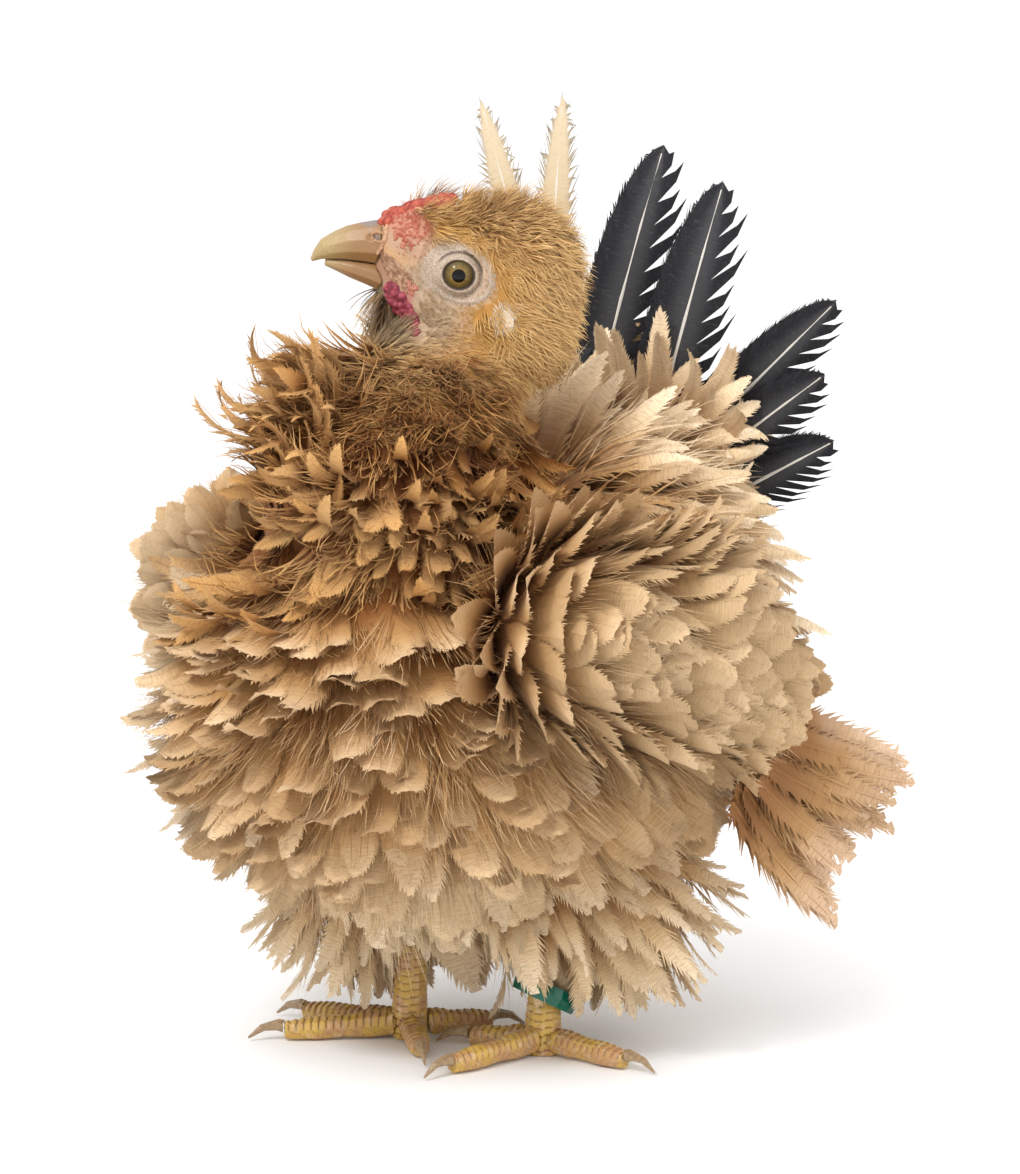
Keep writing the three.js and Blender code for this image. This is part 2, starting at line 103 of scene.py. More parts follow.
def aimed(name, data, at, towards):
    thing = bpy.data.objects.new(name, data)
    bpy.context.scene.collection.objects.link(thing)
    thing.location = Vector(metres(at))
    look = Vector(metres(towards)) - thing.location
    thing.rotation_euler = look.to_track_quat("-Z", "Y").to_euler()
    return thing


lens = bpy.data.cameras.new("camera")
lens.sensor_width = 36
lens.lens = lens.sensor_width * DISTANCE / FRAME_HEIGHT
lens.clip_start = 0.05
camera = aimed("camera", lens, target + back * DISTANCE, target)
turned = Matrix((right, up, back)).transposed()
camera.rotation_euler = turned.to_euler()
bpy.context.scene.camera = camera
bpy.context.scene.view_settings.view_transform = "Standard"

for name, where, size, power in (
    ("softbox_key", target + back * 800 - right * 350 + up * 1100, 1.2, 8),
    ("softbox_small", target + back * 700 - right * 420 + up * 520, 0.13, 3.2),
    ("softbox_fill", target + back * 900 + right * 1100 + up * 300, 1.2, 3),
):
    lamp = bpy.data.lights.new(name, "AREA")
    lamp.shape = "SQUARE"
    lamp.size = size
    lamp.energy = power
    aimed(name, lamp, where, target)
world = bpy.data.worlds.new("surround")
bpy.context.scene.world = world
world.use_nodes = True
world.node_tree.nodes["Background"].inputs["Color"].default_value = (1, 1, 1, 1)
world.node_tree.nodes["Background"].inputs["Strength"].default_value = 1.12

bpy.ops.mesh.primitive_plane_add(size=60)
floor = bpy.context.object
floor.name = "studio_floor"
pale = bpy.data.materials.new("studio_floor")
pale.use_nodes = True
pale.node_tree.nodes["Principled BSDF"].inputs["Base Color"].default_value = (0.96, 0.96, 0.96, 1)
pale.node_tree.nodes["Principled BSDF"].inputs["Roughness"].default_value = 0.9
floor.data.materials.append(pale)


# Her skin is one surface over head, neck, trunk, wings, thighs and tail stub, a little inside the
# solids' cores. It grows from rounded lobes, fused by a remesh, with finer folds about the face.
BLEND = 22  # how sharply lobes meet
SKIN_DEPTH = 3.0  # below the cores' surface
SKULL_DEPTH = 0.6
SKIN_VOXEL = 1.7
FACE_REACH = 0.026  # of the finer skin, in metres
BODIES = {  # a middle, and lobes round it as their middles and half sizes
    "torso": (
        (0, -2, 100),
        [((0, -2, 98), (64, 78, 52)), ((0, -44, 106), (50, 42, 44)), ((0, 52, 128), (36, 36, 34))],
    ),
    "wing_left": (
        (67, -4, 115),
        [((61, -32, 124), (19, 26, 24)), ((65, -2, 116), (19, 40, 28)), ((66, 26, 104), (14, 28, 20))],
    ),
    "wing_right": (
        (-67, -4, 115),
        [((-61, -32, 124), (19, 26, 24)), ((-65, -2, 116), (19, 40, 28)), ((-66, 26, 104), (14, 28, 20))],
    ),
    "thigh_left": ((30, 2, 50), [((30, 4, 50), (25, 33, 24)), ((29, -2, 38), (14, 15, 16))]),
    "thigh_right": ((-17, -9, 50), [((-17, -7, 50), (25, 33, 24)), ((-16, -13, 38), (14, 15, 16))]),
    "stub": ((-6, 76, 152), [((-6, 74, 150), (34, 17, 19))]),
}
SKULL = (
    (0, 4, 1),
    [
        ((0, 11, 2), (17, 19.5, 19.5)),
        ((0, -8, 1), (12, 16.5, 14.5)),
        ((0, -3, -10), (12.5, 17, 12)),
        ((0, 14, -10), (18, 19, 20)),
    ],
)
BEAK_BASE = [((0, -16.5, 2.4), (7.5, 8.4, 7.9)), ((0, -14.5, -7), (7, 8.5, 5.6))]
NECK_KNOTS = np.array([(0, -34, 138), (-2, -25, 168), (3, -4, 196)], float)
NECK_WIDTHS = (38, 32, 25, 15)


def reach(shape, dirs):
    """How far a body's surface lies from its middle in each direction."""
    middle, lobes = shape
    total = 0
    for at, size in lobes:
        start = (np.array(middle) - at) / np.array(size)
        step = dirs / np.array(size)
        a = (step * step).sum(-1)
        b = step @ start
        under = b * b - a * (start @ start - 1)
        leaves = (np.sqrt(np.maximum(under, 0)) - b) / a
        total = total + np.where(under > 0, np.maximum(leaves, 0), 0) ** BLEND
    return total ** (1 / BLEND)


def along_curve(knots, t):
    """Points of a smooth curve through the knots, at places t from 0 to 1."""
    knots = np.asarray(knots, float)
    padded = np.vstack([2 * knots[0] - knots[1], knots, 2 * knots[-1] - knots[-2]])
    at = np.clip(np.asarray(t, float), 0, 1) * (len(knots) - 1)
    i = np.minimum(at.astype(int), len(knots) - 2)
    f = (at - i)[:, None]
    a, b, c, d = padded[i], padded[i + 1], padded[i + 2], padded[i + 3]
    square, cube = 2 * a - 5 * b + 4 * c - d, 3 * b - a - 3 * c + d
    return 0.5 * (2 * b + (c - a) * f + square * f**2 + cube * f**3)


def new_piece(name, points, faces, *materials):
    mesh = bpy.data.meshes.new(name)
    mesh.from_pydata(metres(points).tolist(), [], faces)
    for material in materials:
        mesh.materials.append(material)
    mesh.shade_smooth()
    made = bpy.data.objects.new(name, mesh)
    bpy.context.scene.collection.objects.link(made)
    return made


def unit_ball(detail):
    bm = bmesh.new()
    bmesh.ops.create_icosphere(bm, subdivisions=detail, radius=1)
    points = np.array([v.co for v in bm.verts])
    faces = [[v.index for v in f.verts] for f in bm.faces]
    bm.free()
    return points, faces


def fused(name, parts, voxel, smooth):
    """One piece from overlapping closed surfaces, each given as points and faces."""
    points, faces = [], []
    for some, ring in parts:
        base = sum(len(p) for p in points)
        faces += [[base + i for i in f] for f in ring]
        points.append(some)
    made = new_piece(name, np.vstack(points), faces)
    remesh = made.modifiers.new("remesh", "REMESH")
    remesh.mode = "VOXEL"
    remesh.voxel_size = voxel / 1000
    soften = made.modifiers.new("soften", "SMOOTH")
    soften.iterations = smooth
    graph = bpy.context.evaluated_depsgraph_get()
    mesh = bpy.data.meshes.new_from_object(made.evaluated_get(graph))
    made.modifiers.clear()
    made.data = mesh
    mesh.shade_smooth()
    return made


def coordinates(made):
    """The piece's points, in the hen's own millimetres."""
    spots = np.empty(len(made.data.vertices) * 3)
    made.data.vertices.foreach_get("co", spots)
    return millimetres(spots.reshape(-1, 3))


def place(made, points):
    made.data.vertices.foreach_set("co", metres(points).ravel())
    made.data.update()


def neck_widths(steps):
    return np.interp(steps, np.linspace(0, 1, len(NECK_WIDTHS)), NECK_WIDTHS) - SKIN_DEPTH


def skin_parts():
    ball, faces = unit_ball(5)
    parts = []
    for shape in BODIES.values():
        parts.append((np.array(shape[0]) + ball * (reach(shape, ball) - SKIN_DEPTH)[:, None], faces))
    skull = np.array(SKULL[0]) + ball * (reach(SKULL, ball) - SKULL_DEPTH)[:, None]
    parts.append((in_head(skull), faces))
    small, small_faces = unit_ball(3)
    for at, size in BEAK_BASE:
        parts.append((in_head(np.array(at) + small * size), small_faces))
    steps = np.linspace(0, 1, 14)
    for at, width in zip(along_curve(NECK_KNOTS, steps), neck_widths(steps)):
        parts.append((at + small * width, small_faces))
    return parts


skin = fused("skin", skin_parts(), SKIN_VOXEL, 8)
head_back = np.array(HEAD.inverted())


def to_head(points):
    return points @ head_back[:3, :3].T + head_back[:3, 3]


def shape_face():
    bm = bmesh.new()
    bm.from_mesh(skin.data)
    middle = Vector(metres(in_head([(0, -4, -2)]))[0])
    near = [e for e in bm.edges if (e.verts[0].co - middle).length < FACE_REACH]
    bmesh.ops.subdivide_edges(bm, edges=near, cuts=2, use_grid_fill=True)
    bm.to_mesh(skin.data)
    bm.free()
    points = coordinates(skin)
    local = to_head(points)
    side = np.sign(local[:, 0])
    # The skin falls away under the lids, and low folds cross the cheek
    away = np.hypot(local[:, 1], local[:, 2])
    sunk = (np.abs(local[:, 0]) > 5) & (away < 6.5)
    local[:, 0] = np.where(sunk, side * 10.5, local[:, 0])
    fold = np.sin(away * 2.2 + np.sin(local[:, 1] * 0.9)) * np.exp(-(((away - 12) / 3.0) ** 2))
    local[:, 0] += np.where(np.abs(local[:, 0]) > 6, side * fold * 0.25, 0)
    moved = np.linalg.norm(local, axis=1) < 30
    points[moved] = in_head(local)[moved]
    place(skin, points)
    skin.data.shade_smooth()


shape_face()


# The looks share a few makers of shader nodes. Each takes sockets, plain numbers or colours.
def wire(tree, output, socket):
    if isinstance(output, (int, float)):
        socket.default_value = output
    elif isinstance(output, tuple):
        socket.default_value = output if len(socket.default_value) == len(output) else (*output, 1)
    else:
        tree.links.new(output, socket)


def worked(tree, kind, operation, values):
    made = tree.nodes.new(kind)
    made.operation = operation
    for socket, value in zip(made.inputs, values):
        wire(tree, value, socket)
    return made.outputs


def calc(tree, operation, *values):
    return worked(tree, "ShaderNodeMath", operation, values)[0]


def aim(tree, operation, *values):
    """A vector math node's vector, or the number of a length, distance or dot product."""
    number = operation in ("LENGTH", "DISTANCE", "DOT_PRODUCT")
    return worked(tree, "ShaderNodeVectorMath", operation, values)["Value" if number else "Vector"]


def ramp(tree, value, low, high, most=1):
    """A smooth step of a value between two limits, from 0 to most."""
    made = tree.nodes.new("ShaderNodeMapRange")
    made.interpolation_type = "SMOOTHSTEP"
    for key, number in (("Value", value), ("From Min", low), ("From Max", high)):
        wire(tree, number, made.inputs[key])
    step = made.outputs["Result"]
    return step if most == 1 else calc(tree, "MULTIPLY", step, most)


def blended(tree, share, first, second, kind="MIX"):
    made = tree.nodes.new("ShaderNodeMix")
    made.data_type = "RGBA"
    made.blend_type = kind
    wire(tree, share, made.inputs[0])
    wire(tree, first, made.inputs[6])
    wire(tree, second, made.inputs[7])
    return made.outputs[2]


def noise(tree, place_at, scale, detail=2.0):
    made = tree.nodes.new("ShaderNodeTexNoise")
    wire(tree, place_at, made.inputs["Vector"])
    made.inputs["Scale"].default_value = scale
    made.inputs["Detail"].default_value = detail
    return made.outputs["Fac"]


def group_of(name, inputs, outputs):
    tree = bpy.data.node_groups.new(name, "ShaderNodeTree")
    for label, kind in inputs:
        tree.interface.new_socket(label, in_out="INPUT", socket_type=kind)
    for label, kind in outputs:
        tree.interface.new_socket(label, in_out="OUTPUT", socket_type=kind)
    return tree, tree.nodes.new("NodeGroupInput"), tree.nodes.new("NodeGroupOutput")


# Markings: buff all over, redder on the neck, golden on the head and paler behind. Each patch has a
# middle, half sizes and a colour, in the hen's own millimetres or, for the face, in the head's. Skin
# and feathers take their colour from the same group.
BUFF = (0.52, 0.31, 0.125)
BODY_PATCHES = [
    ((-62, -70, 95), (50, 55, 60), (0.42, 0.30, 0.175)),
    ((20, -70, 100), (70, 45, 45), (0.50, 0.285, 0.105)),
    ((0, -10, 30), (95, 110, 34), (0.64, 0.46, 0.25)),
    ((75, 0, 115), (45, 60, 42), (0.48, 0.315, 0.15)),
    ((-75, 0, 115), (45, 60, 42), (0.54, 0.34, 0.15)),
    ((0, 62, 165), (60, 40, 34), (0.76, 0.56, 0.33)),
    ((30, 95, 100), (60, 45, 40), (0.90, 0.78, 0.62)),
    ((0, -26, 166), (50, 45, 26), (0.30, 0.125, 0.026)),
    ((1, -3, 207), (27, 32, 32), (0.56, 0.32, 0.10)),
]
FACE_PATCHES = [
    ((0, -8, -15), (30, 18, 15), (0.43, 0.32, 0.205)),
    ((0, -1, -0.5), (30, 13.5, 10), (0.45, 0.36, 0.275)),
    ((0, -16, 5), (30, 8, 7), (0.40, 0.235, 0.14)),
    ((0, -17, 8), (30, 7, 4.5), (0.42, 0.12, 0.07)),
    ((0, -20, -7), (30, 5, 4), (0.34, 0.17, 0.095)),
    ((0, -13, -11), (30, 4.5, 4), (0.42, 0.13, 0.12)),
]


def mark(tree, colour, at, patch):
    middle, sizes, tint = patch
    offset = aim(tree, "SUBTRACT", at, middle)
    scaled = aim(tree, "DIVIDE", offset, sizes)
    share = ramp(tree, aim(tree, "LENGTH", scaled), 1.15, 0.7)
    return blended(tree, share, colour, tint)


def enlarged(tree, where):
    """Object coordinates in millimetres."""
    return aim(tree, "MULTIPLY", where, (1000, 1000, 1000))


def in_millimetres(tree, where):
    """Object coordinates as places in the hen's own millimetres."""
    return aim(tree, "SUBTRACT", enlarged(tree, where), tuple(SHIFT))


def make_head_place():
    """Object coordinates to millimetres in the head's frame, by a dot product with each axis."""
    sockets = [("Place", "NodeSocketVector")], [("Local", "NodeSocketVector")]
    tree, start, end = group_of("head_place", *sockets)
    own = in_millimetres(tree, start.outputs[0])
    offset = aim(tree, "SUBTRACT", own, tuple(HEAD.translation))
    local = tree.nodes.new("ShaderNodeCombineXYZ")
    for i in range(3):
        wire(tree, aim(tree, "DOT_PRODUCT", offset, tuple(HEAD.col[i][:3])), local.inputs[i])
    wire(tree, local.outputs[0], end.inputs[0])
    return tree


head_place = make_head_place()


def grouped(tree, group, where):
    made = tree.nodes.new("ShaderNodeGroup")
    made.node_tree = group
    wire(tree, where, made.inputs[0])
    return made.outputs[0]


def in_head_frame(tree, where):
    return grouped(tree, head_place, where)


def make_markings():
    sockets = [("Place", "NodeSocketVector")], [("Color", "NodeSocketColor")]
    tree, start, end = group_of("markings", *sockets)
    own = in_millimetres(tree, start.outputs[0])
    wavy = tree.nodes.new("ShaderNodeTexNoise")
    wire(tree, own, wavy.inputs["Vector"])
    wavy.inputs["Scale"].default_value = 0.07
    off = aim(tree, "SUBTRACT", wavy.outputs["Color"], (0.5, 0.5, 0.5))
    broken = aim(tree, "ADD", own, aim(tree, "MULTIPLY", off, (14, 14, 14)))
    colour = BUFF
    for patch in BODY_PATCHES:
        colour = mark(tree, colour, broken, patch)
    fine = aim(tree, "MULTIPLY", off, (4, 4, 4))
    face = aim(tree, "ADD", in_head_frame(tree, start.outputs[0]), fine)
    for patch in FACE_PATCHES:
        colour = mark(tree, colour, face, patch)
    wire(tree, colour, end.inputs[0])
    return tree


markings = make_markings()


def material_of(name, roughness=0.7, **constants):
    """A material with its tree, shader and Object coordinates. Constants go on its sockets."""
    made = bpy.data.materials.new(name)
    made.use_nodes = True
    tree = made.node_tree
    shader = tree.nodes["Principled BSDF"]
    shader.inputs["Roughness"].default_value = roughness
    for key, value in constants.items():
        shader.inputs[key.replace("_", " ").title().replace("Ior", "IOR")].default_value = value
    where = tree.nodes.new("ShaderNodeTexCoord").outputs["Object"]
    return made, tree, shader, where


def bumped(tree, shader, height, strength, distance):
    bump = tree.nodes.new("ShaderNodeBump")
    bump.inputs["Strength"].default_value = strength
    bump.inputs["Distance"].default_value = distance
    wire(tree, height, bump.inputs["Height"])
    wire(tree, bump.outputs["Normal"], shader.inputs["Normal"])


def attribute(tree, name):
    made = tree.nodes.new("ShaderNodeAttribute")
    made.attribute_name = name
    return made.outputs


def split(tree, vector):
    made = tree.nodes.new("ShaderNodeSeparateXYZ")
    wire(tree, vector, made.inputs[0])
    return made.outputs


def skin_material():
    made, tree, shader, where = material_of("skin", 0.6)
    colour = grouped(tree, markings, where)
    own = in_millimetres(tree, where)
    face = ramp(tree, aim(tree, "DISTANCE", own, tuple(in_head([(0, -2, -4)])[0])), 38, 28)
    # Away from the face the skin is painted dark, and darker still in blotches set by noise. This is
    # painted shade for the gaps between the feathers that cover it.
    dark = blended(tree, 1.0, colour, (0.42, 0.27, 0.15), "MULTIPLY")
    pores = noise(tree, own, 1.6, 3.0)
    fleshy = blended(tree, 0.3, colour, (0.42, 0.29, 0.19))
    fleshy = blended(tree, ramp(tree, pores, 0.35, 0.7, 0.35), fleshy, (0.42, 0.2, 0.14))
    dark = blended(tree, ramp(tree, pores, 0.35, 0.7, 0.5), dark, (0.10, 0.05, 0.02))
    wire(tree, blended(tree, face, dark, fleshy), shader.inputs["Base Color"])
    bumped(tree, shader, pores, 0.5, 0.0006)
    return made


skin.data.materials.append(skin_material())
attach(skin, "root")
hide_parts("torso", "neck", "head", "wing_left", "wing_right", "thigh_left", "thigh_right", "tail")


# The feathers' common make-up: roots are spread evenly over the skin, each belongs to the part of
# the body it grows on, and one node tree sets a plume on each root and joins them to one mesh.
def skin_samples(count, seed):
    """Random points of the skin with their outward direction, spread by area."""
    rng = np.random.default_rng(seed)
    mesh = skin.data
    mesh.calc_loop_triangles()
    corners = np.empty(len(mesh.loop_triangles) * 3, int)
    mesh.loop_triangles.foreach_get("vertices", corners)
    tris = coordinates(skin)[corners.reshape(-1, 3)]
    cross = np.cross(tris[:, 1] - tris[:, 0], tris[:, 2] - tris[:, 0])
    area = np.linalg.norm(cross, axis=1)
    pick = rng.choice(len(tris), count, p=area / area.sum())
    a, b = rng.random((2, count, 1))
    over = (a + b) > 1
    a, b = np.where(over, 1 - a, a), np.where(over, 1 - b, b)
    chosen = tris[pick]
    points = chosen[:, 0] + a * (chosen[:, 1] - chosen[:, 0]) + b * (chosen[:, 2] - chosen[:, 0])
    return points, cross[pick] / area[pick, None]


def thinned(points, spacing):
    """The places in a list of points that are kept, none nearer to another than the spacing."""
    tree = KDTree(len(points))
    for i, p in enumerate(points):
        tree.insert(p, i)
    tree.balance()
    gone = np.zeros(len(points), bool)
    kept = []
    for i, p in enumerate(points):
        if gone[i]:
            continue
        kept.append(i)
        for _, j, _ in tree.find_range(p, spacing):
            gone[j] = True
    return np.array(kept)


def owner_of(points):
    """The body that each point of the skin belongs to."""
    names = list(BODIES) + ["head", "neck"]
    scores = []
    for shape in BODIES.values():
        offset = points - np.array(shape[0])
        far = np.linalg.norm(offset, axis=1)
        scores.append(far / (reach(shape, offset / far[:, None]) - SKIN_DEPTH))
    offset = to_head(points) - np.array(SKULL[0])
    far = np.linalg.norm(offset, axis=1)
    scores.append(far / (reach(SKULL, offset / far[:, None]) - SKULL_DEPTH))
    steps = np.linspace(0, 1, 30)
    spine = along_curve(NECK_KNOTS, steps)
    gaps = np.linalg.norm(points[:, None] - spine[None], axis=2) / neck_widths(steps)
    scores.append(gaps.min(1))
    return np.array(names)[np.argmin(np.array(scores), axis=0)]


PLUME_STEPS = 24


def plume(
    length, width, rise, curl, rows, seed,
    tip=0.5, loose=1.0, shaft=0.3, cup=0.3, bend=1.3, sway=0.06, parted=(),
):
    """A feather along +X with its face up +Z, its shaft bent from rise to curl degrees. Each half
    of its vane is one sheet near the shaft and parts into barbs towards the edge, or into pointed
    bunches on a parted side, -1 or 1. Gives points, faces and, for each point, its place across
    (0 at the shaft), along (0 at the root) and a draw."""
    rng = np.random.default_rng(seed)
    steps = np.linspace(0, 1, PLUME_STEPS + 1)
    turn = np.radians(rise + (curl - rise) * steps**bend)
    mid = (turn[1:] + turn[:-1]) / 2
    run = length / PLUME_STEPS
    xs = np.concatenate([[0], np.cumsum(np.cos(mid))]) * run
    zs = np.concatenate([[0], np.cumsum(np.sin(mid))]) * run
    sway = rng.uniform(-1, 1) * sway * length

    def spot(s, aside, lift):
        angle = np.interp(s, steps, turn)
        past = max(s - 1, 0) * length
        x = np.interp(s, steps, xs) + past * math.cos(angle) - lift * math.sin(angle)
        z = np.interp(s, steps, zs) + past * math.sin(angle) + lift * math.cos(angle)
        return (x, aside + sway * s * s, z)

    # How far out the vane stays whole
    sheet = (0, 0.45, 0.82) if loose < 1.2 else (0, 0.3, 0.6) if loose < 1.9 else (0, 0.2, 0.4)
    points, faces, patch = [], [], []

    def barb(side, share, u, draw, stray=0.0):
        """Adds the point at u of the way along the barb that ends at a share of the outline."""
        at = 0.1 + 0.9 * (1 - (1 - share) ** 1.25) + stray * 0.2
        round_off = max(at - 0.3 - 0.4 * tip, 0) / (0.7 - 0.4 * tip)
        waist, end = min((at + 0.08) / 0.35, 1) ** 0.6, max(1 - round_off**2.3, 0) ** 0.5
        half = width / 2 * waist * end + 0.15
        slant = math.radians(np.interp(share, [0, 0.7, 1], [46, 38, 30]))
        lag = half / math.tan(slant) / length
        s = at - lag + lag * u**1.3
        wide = 1 - max(1 - u, 0) ** 1.6 + 0.6 * max(u - 1, 0)
        lift = -cup * half * u * u + draw * loose * u * half * 0.12
        points.append(spot(s, side * half * wide, lift))
        patch.append((side * u, s, 0.5 + draw / 2))
        return len(points) - 1

    for side in (-1, 1):
        bunched = side in parted
        count, inner = (rows // 3, (0, 0.12, 0.3)) if bunched else (rows, sheet)
        grid = []
        for i in range(count + 1):
            draw = rng.uniform(-1, 1) * 0.5
            grid.append([barb(side, i / count, u, draw * u) for u in inner])
        fan = []
        for i in range(count):
            for j in range(len(inner) - 1):
                fan.append([grid[i][j], grid[i][j + 1], grid[i + 1][j + 1], grid[i + 1][j]])
            if bunched:
                draw, far = rng.uniform(-1, 1), rng.uniform(0.95, 1.3)
                near = barb(side, (i + 0.12) / count, far * 0.7, draw * 0.6)
                other = barb(side, (i + 0.68) / count, far * 0.7, draw * 0.6)
                end = barb(side, (i + 0.45) / count, far, draw)
                fan += [[grid[i][-1], near, other, grid[i + 1][-1]], [near, end, other]]
                continue
            # The edge: two barb ends to a row, each a tapering blade of its own length
            low, high = grid[i][-1], grid[i + 1][-1]
            for part in (0.25, 0.8):
                draw = rng.uniform(-1, 1)
                far = rng.uniform(1 - 0.1 * loose, 1 + 0.06 * loose)
                end = barb(side, (i + part) / rows, far, draw, rng.normal(0, 0.05) * loose)
                base = barb(side, (i + 0.5) / rows, sheet[-1], draw * 0.5)
                fan.append([low, end, base] if part < 0.5 else [base, end, high])
        faces += fan if side > 0 else [f[::-1] for f in fan]
    base = len(points)
    for s in np.linspace(0, 0.97, 5):
        thick = shaft * (1 - 0.8 * s)
        for y, z in ((-thick, 0), (0, thick), (thick, 0)):
            points.append(spot(s, y, z))
            patch.append((0, s, 2))
    for i in range(4):
        for j in range(2):
            corner = base + i * 3 + j
            faces.append([corner, corner + 3, corner + 4, corner + 1])
    return np.array(points), faces, np.array(patch)


def wisp(length, width, blades, rise, curl, seed, fine=0.5, sway=0.2):
    """A loose bundle of tapering hair-like blades along +X, each bent from rise to about curl."""
    rng = np.random.default_rng(seed)
    points, faces, patch = [], [], []
    rings = 6
    for k in range(blades):
        spread = (k + 0.5) / blades * 2 - 1
        far = length * rng.uniform(0.65, 1.1) * (1 - 0.2 * spread**2)
        bends = [rise * rng.uniform(0.6, 1.3), curl * rng.uniform(0.6, 1.3)]
        bends = np.radians(np.linspace(*bends, rings))
        swing = np.radians(np.linspace(spread * 16, spread * 8 + rng.normal(0, 60) * sway, rings))
        spot = np.array([0, spread * width * 0.2, 0])
        base, draw = len(points), rng.random()
        for i in range(rings):
            t = i / (rings - 1)
            level, aside = math.cos(swing[i]), math.sin(swing[i])
            ahead = np.array([math.cos(bends[i]) * level, aside, math.sin(bends[i]) * level])
            flank = np.array([-aside, level, 0]) * fine / 2 * (1 - t) ** 0.6
            points += [spot - flank, spot + flank] if i < rings - 1 else [spot.copy()]
            patch += [(spread, t, draw)] * (2 if i < rings - 1 else 1)
            spot = spot + ahead * far / (rings - 1)
        for i in range(rings - 2):
            a = base + 2 * i
            faces.append([a, a + 2, a + 3, a + 1])
        a = base + 2 * (rings - 2)
        faces.append([a, a + 2, a + 1])
    return np.array(points), faces, np.array(patch)


def plumes(seed, curls, length, width, rise, rows, **form):
    return [plume(length, width, rise, curl, rows, seed + i, **form) for i, curl in enumerate(curls)]


def wisps(seed, curls, length, width, blades, rise, *form):
    return [wisp(length, width, blades, rise, curl, seed + i, *form) for i, curl in enumerate(curls)]


def kept_shapes(name, shapes):
    """A collection of the shapes as objects, in order, that is in no scene."""
    held = bpy.data.collections.new(name)
    for i, (points, faces, patch) in enumerate(shapes):
        mesh = bpy.data.meshes.new(f"{name}_{i:02d}")
        mesh.from_pydata((points / 1000).tolist(), [], faces)
        across_along = mesh.attributes.new("patch", "FLOAT_VECTOR", "POINT")
        across_along.data.foreach_set("vector", patch.ravel())
        mesh.shade_smooth()
        held.objects.link(bpy.data.objects.new(mesh.name, mesh))
    return held


def coat_tree():
    """Sets a plume on each root, turned to its lie, and gives each its patch in the map."""
    tree = bpy.data.node_groups.new("coat", "GeometryNodeTree")
    for label, way, kind in (
        ("Roots", "INPUT", "NodeSocketGeometry"),
        ("Plumes", "INPUT", "NodeSocketCollection"),
        ("Material", "INPUT", "NodeSocketMaterial"),
        ("Patch Size", "INPUT", "NodeSocketFloat"),
        ("Coat", "OUTPUT", "NodeSocketGeometry"),
    ):
        tree.interface.new_socket(label, in_out=way, socket_type=kind)
    add = tree.nodes.new
    link = tree.links.new
    start, end = add("NodeGroupInput"), add("NodeGroupOutput")

    def named(name, kind):
        found = add("GeometryNodeInputNamedAttribute")
        found.data_type = kind
        found.inputs["Name"].default_value = name
        return found.outputs["Attribute"]

    shapes = add("GeometryNodeCollectionInfo")
    shapes.inputs["Separate Children"].default_value = True
    shapes.inputs["Reset Children"].default_value = True
    link(start.outputs["Plumes"], shapes.inputs["Collection"])
    turn = add("FunctionNodeAxesToRotation")
    turn.primary_axis, turn.secondary_axis = "X", "Z"
    link(named("lie", "FLOAT_VECTOR"), turn.inputs["Primary Axis"])
    link(named("out", "FLOAT_VECTOR"), turn.inputs["Secondary Axis"])
    grow = add("GeometryNodeInstanceOnPoints")
    grow.inputs["Pick Instance"].default_value = True
    link(start.outputs["Roots"], grow.inputs["Points"])
    link(shapes.outputs[0], grow.inputs["Instance"])
    link(named("pick", "INT"), grow.inputs["Instance Index"])
    link(turn.outputs[0], grow.inputs["Rotation"])
    link(named("size", "FLOAT_VECTOR"), grow.inputs["Scale"])
    real = add("GeometryNodeRealizeInstances")
    link(grow.outputs[0], real.inputs[0])
    # The patch of a plume in the map: its own across and along about its root's place
    sized = add("ShaderNodeVectorMath")
    sized.operation = "SCALE"
    link(aim(tree, "SUBTRACT", named("patch", "FLOAT_VECTOR"), (0, 0.5, 0)), sized.inputs[0])
    link(start.outputs["Patch Size"], sized.inputs["Scale"])
    placed = aim(tree, "ADD", named("root", "FLOAT_VECTOR"), sized.outputs[0])
    map_out = add("GeometryNodeStoreNamedAttribute")
    map_out.data_type, map_out.domain = "FLOAT2", "CORNER"
    map_out.inputs["Name"].default_value = "OFBake"
    link(real.outputs[0], map_out.inputs["Geometry"])
    link(placed, map_out.inputs["Value"])
    done = map_out.outputs[0]
    for unused in ("lie", "out", "pick", "size", "root"):
        drop = add("GeometryNodeRemoveAttribute")
        drop.inputs["Name"].default_value = unused
        link(done, drop.inputs[0])
        done = drop.outputs[0]
    cover = add("GeometryNodeSetMaterial")
    link(done, cover.inputs["Geometry"])
    link(start.outputs["Material"], cover.inputs["Material"])
    link(cover.outputs[0], end.inputs[0])
    return tree


COAT = coat_tree()
HALF_PATCH = 0.0015  # of a plume in the map


def unrolled(points, middle):
    """Each point's place on the body unrolled about its middle, equal areas staying equal."""
    offset = points - np.array(middle)
    offset /= np.linalg.norm(offset, axis=1)[:, None]
    across = np.arctan2(offset[:, 1], offset[:, 0]) / (2 * math.pi) + 0.5
    return np.stack([0.003 + 0.994 * across, 0.5 + 0.497 * offset[:, 2], np.zeros(len(points))], 1)


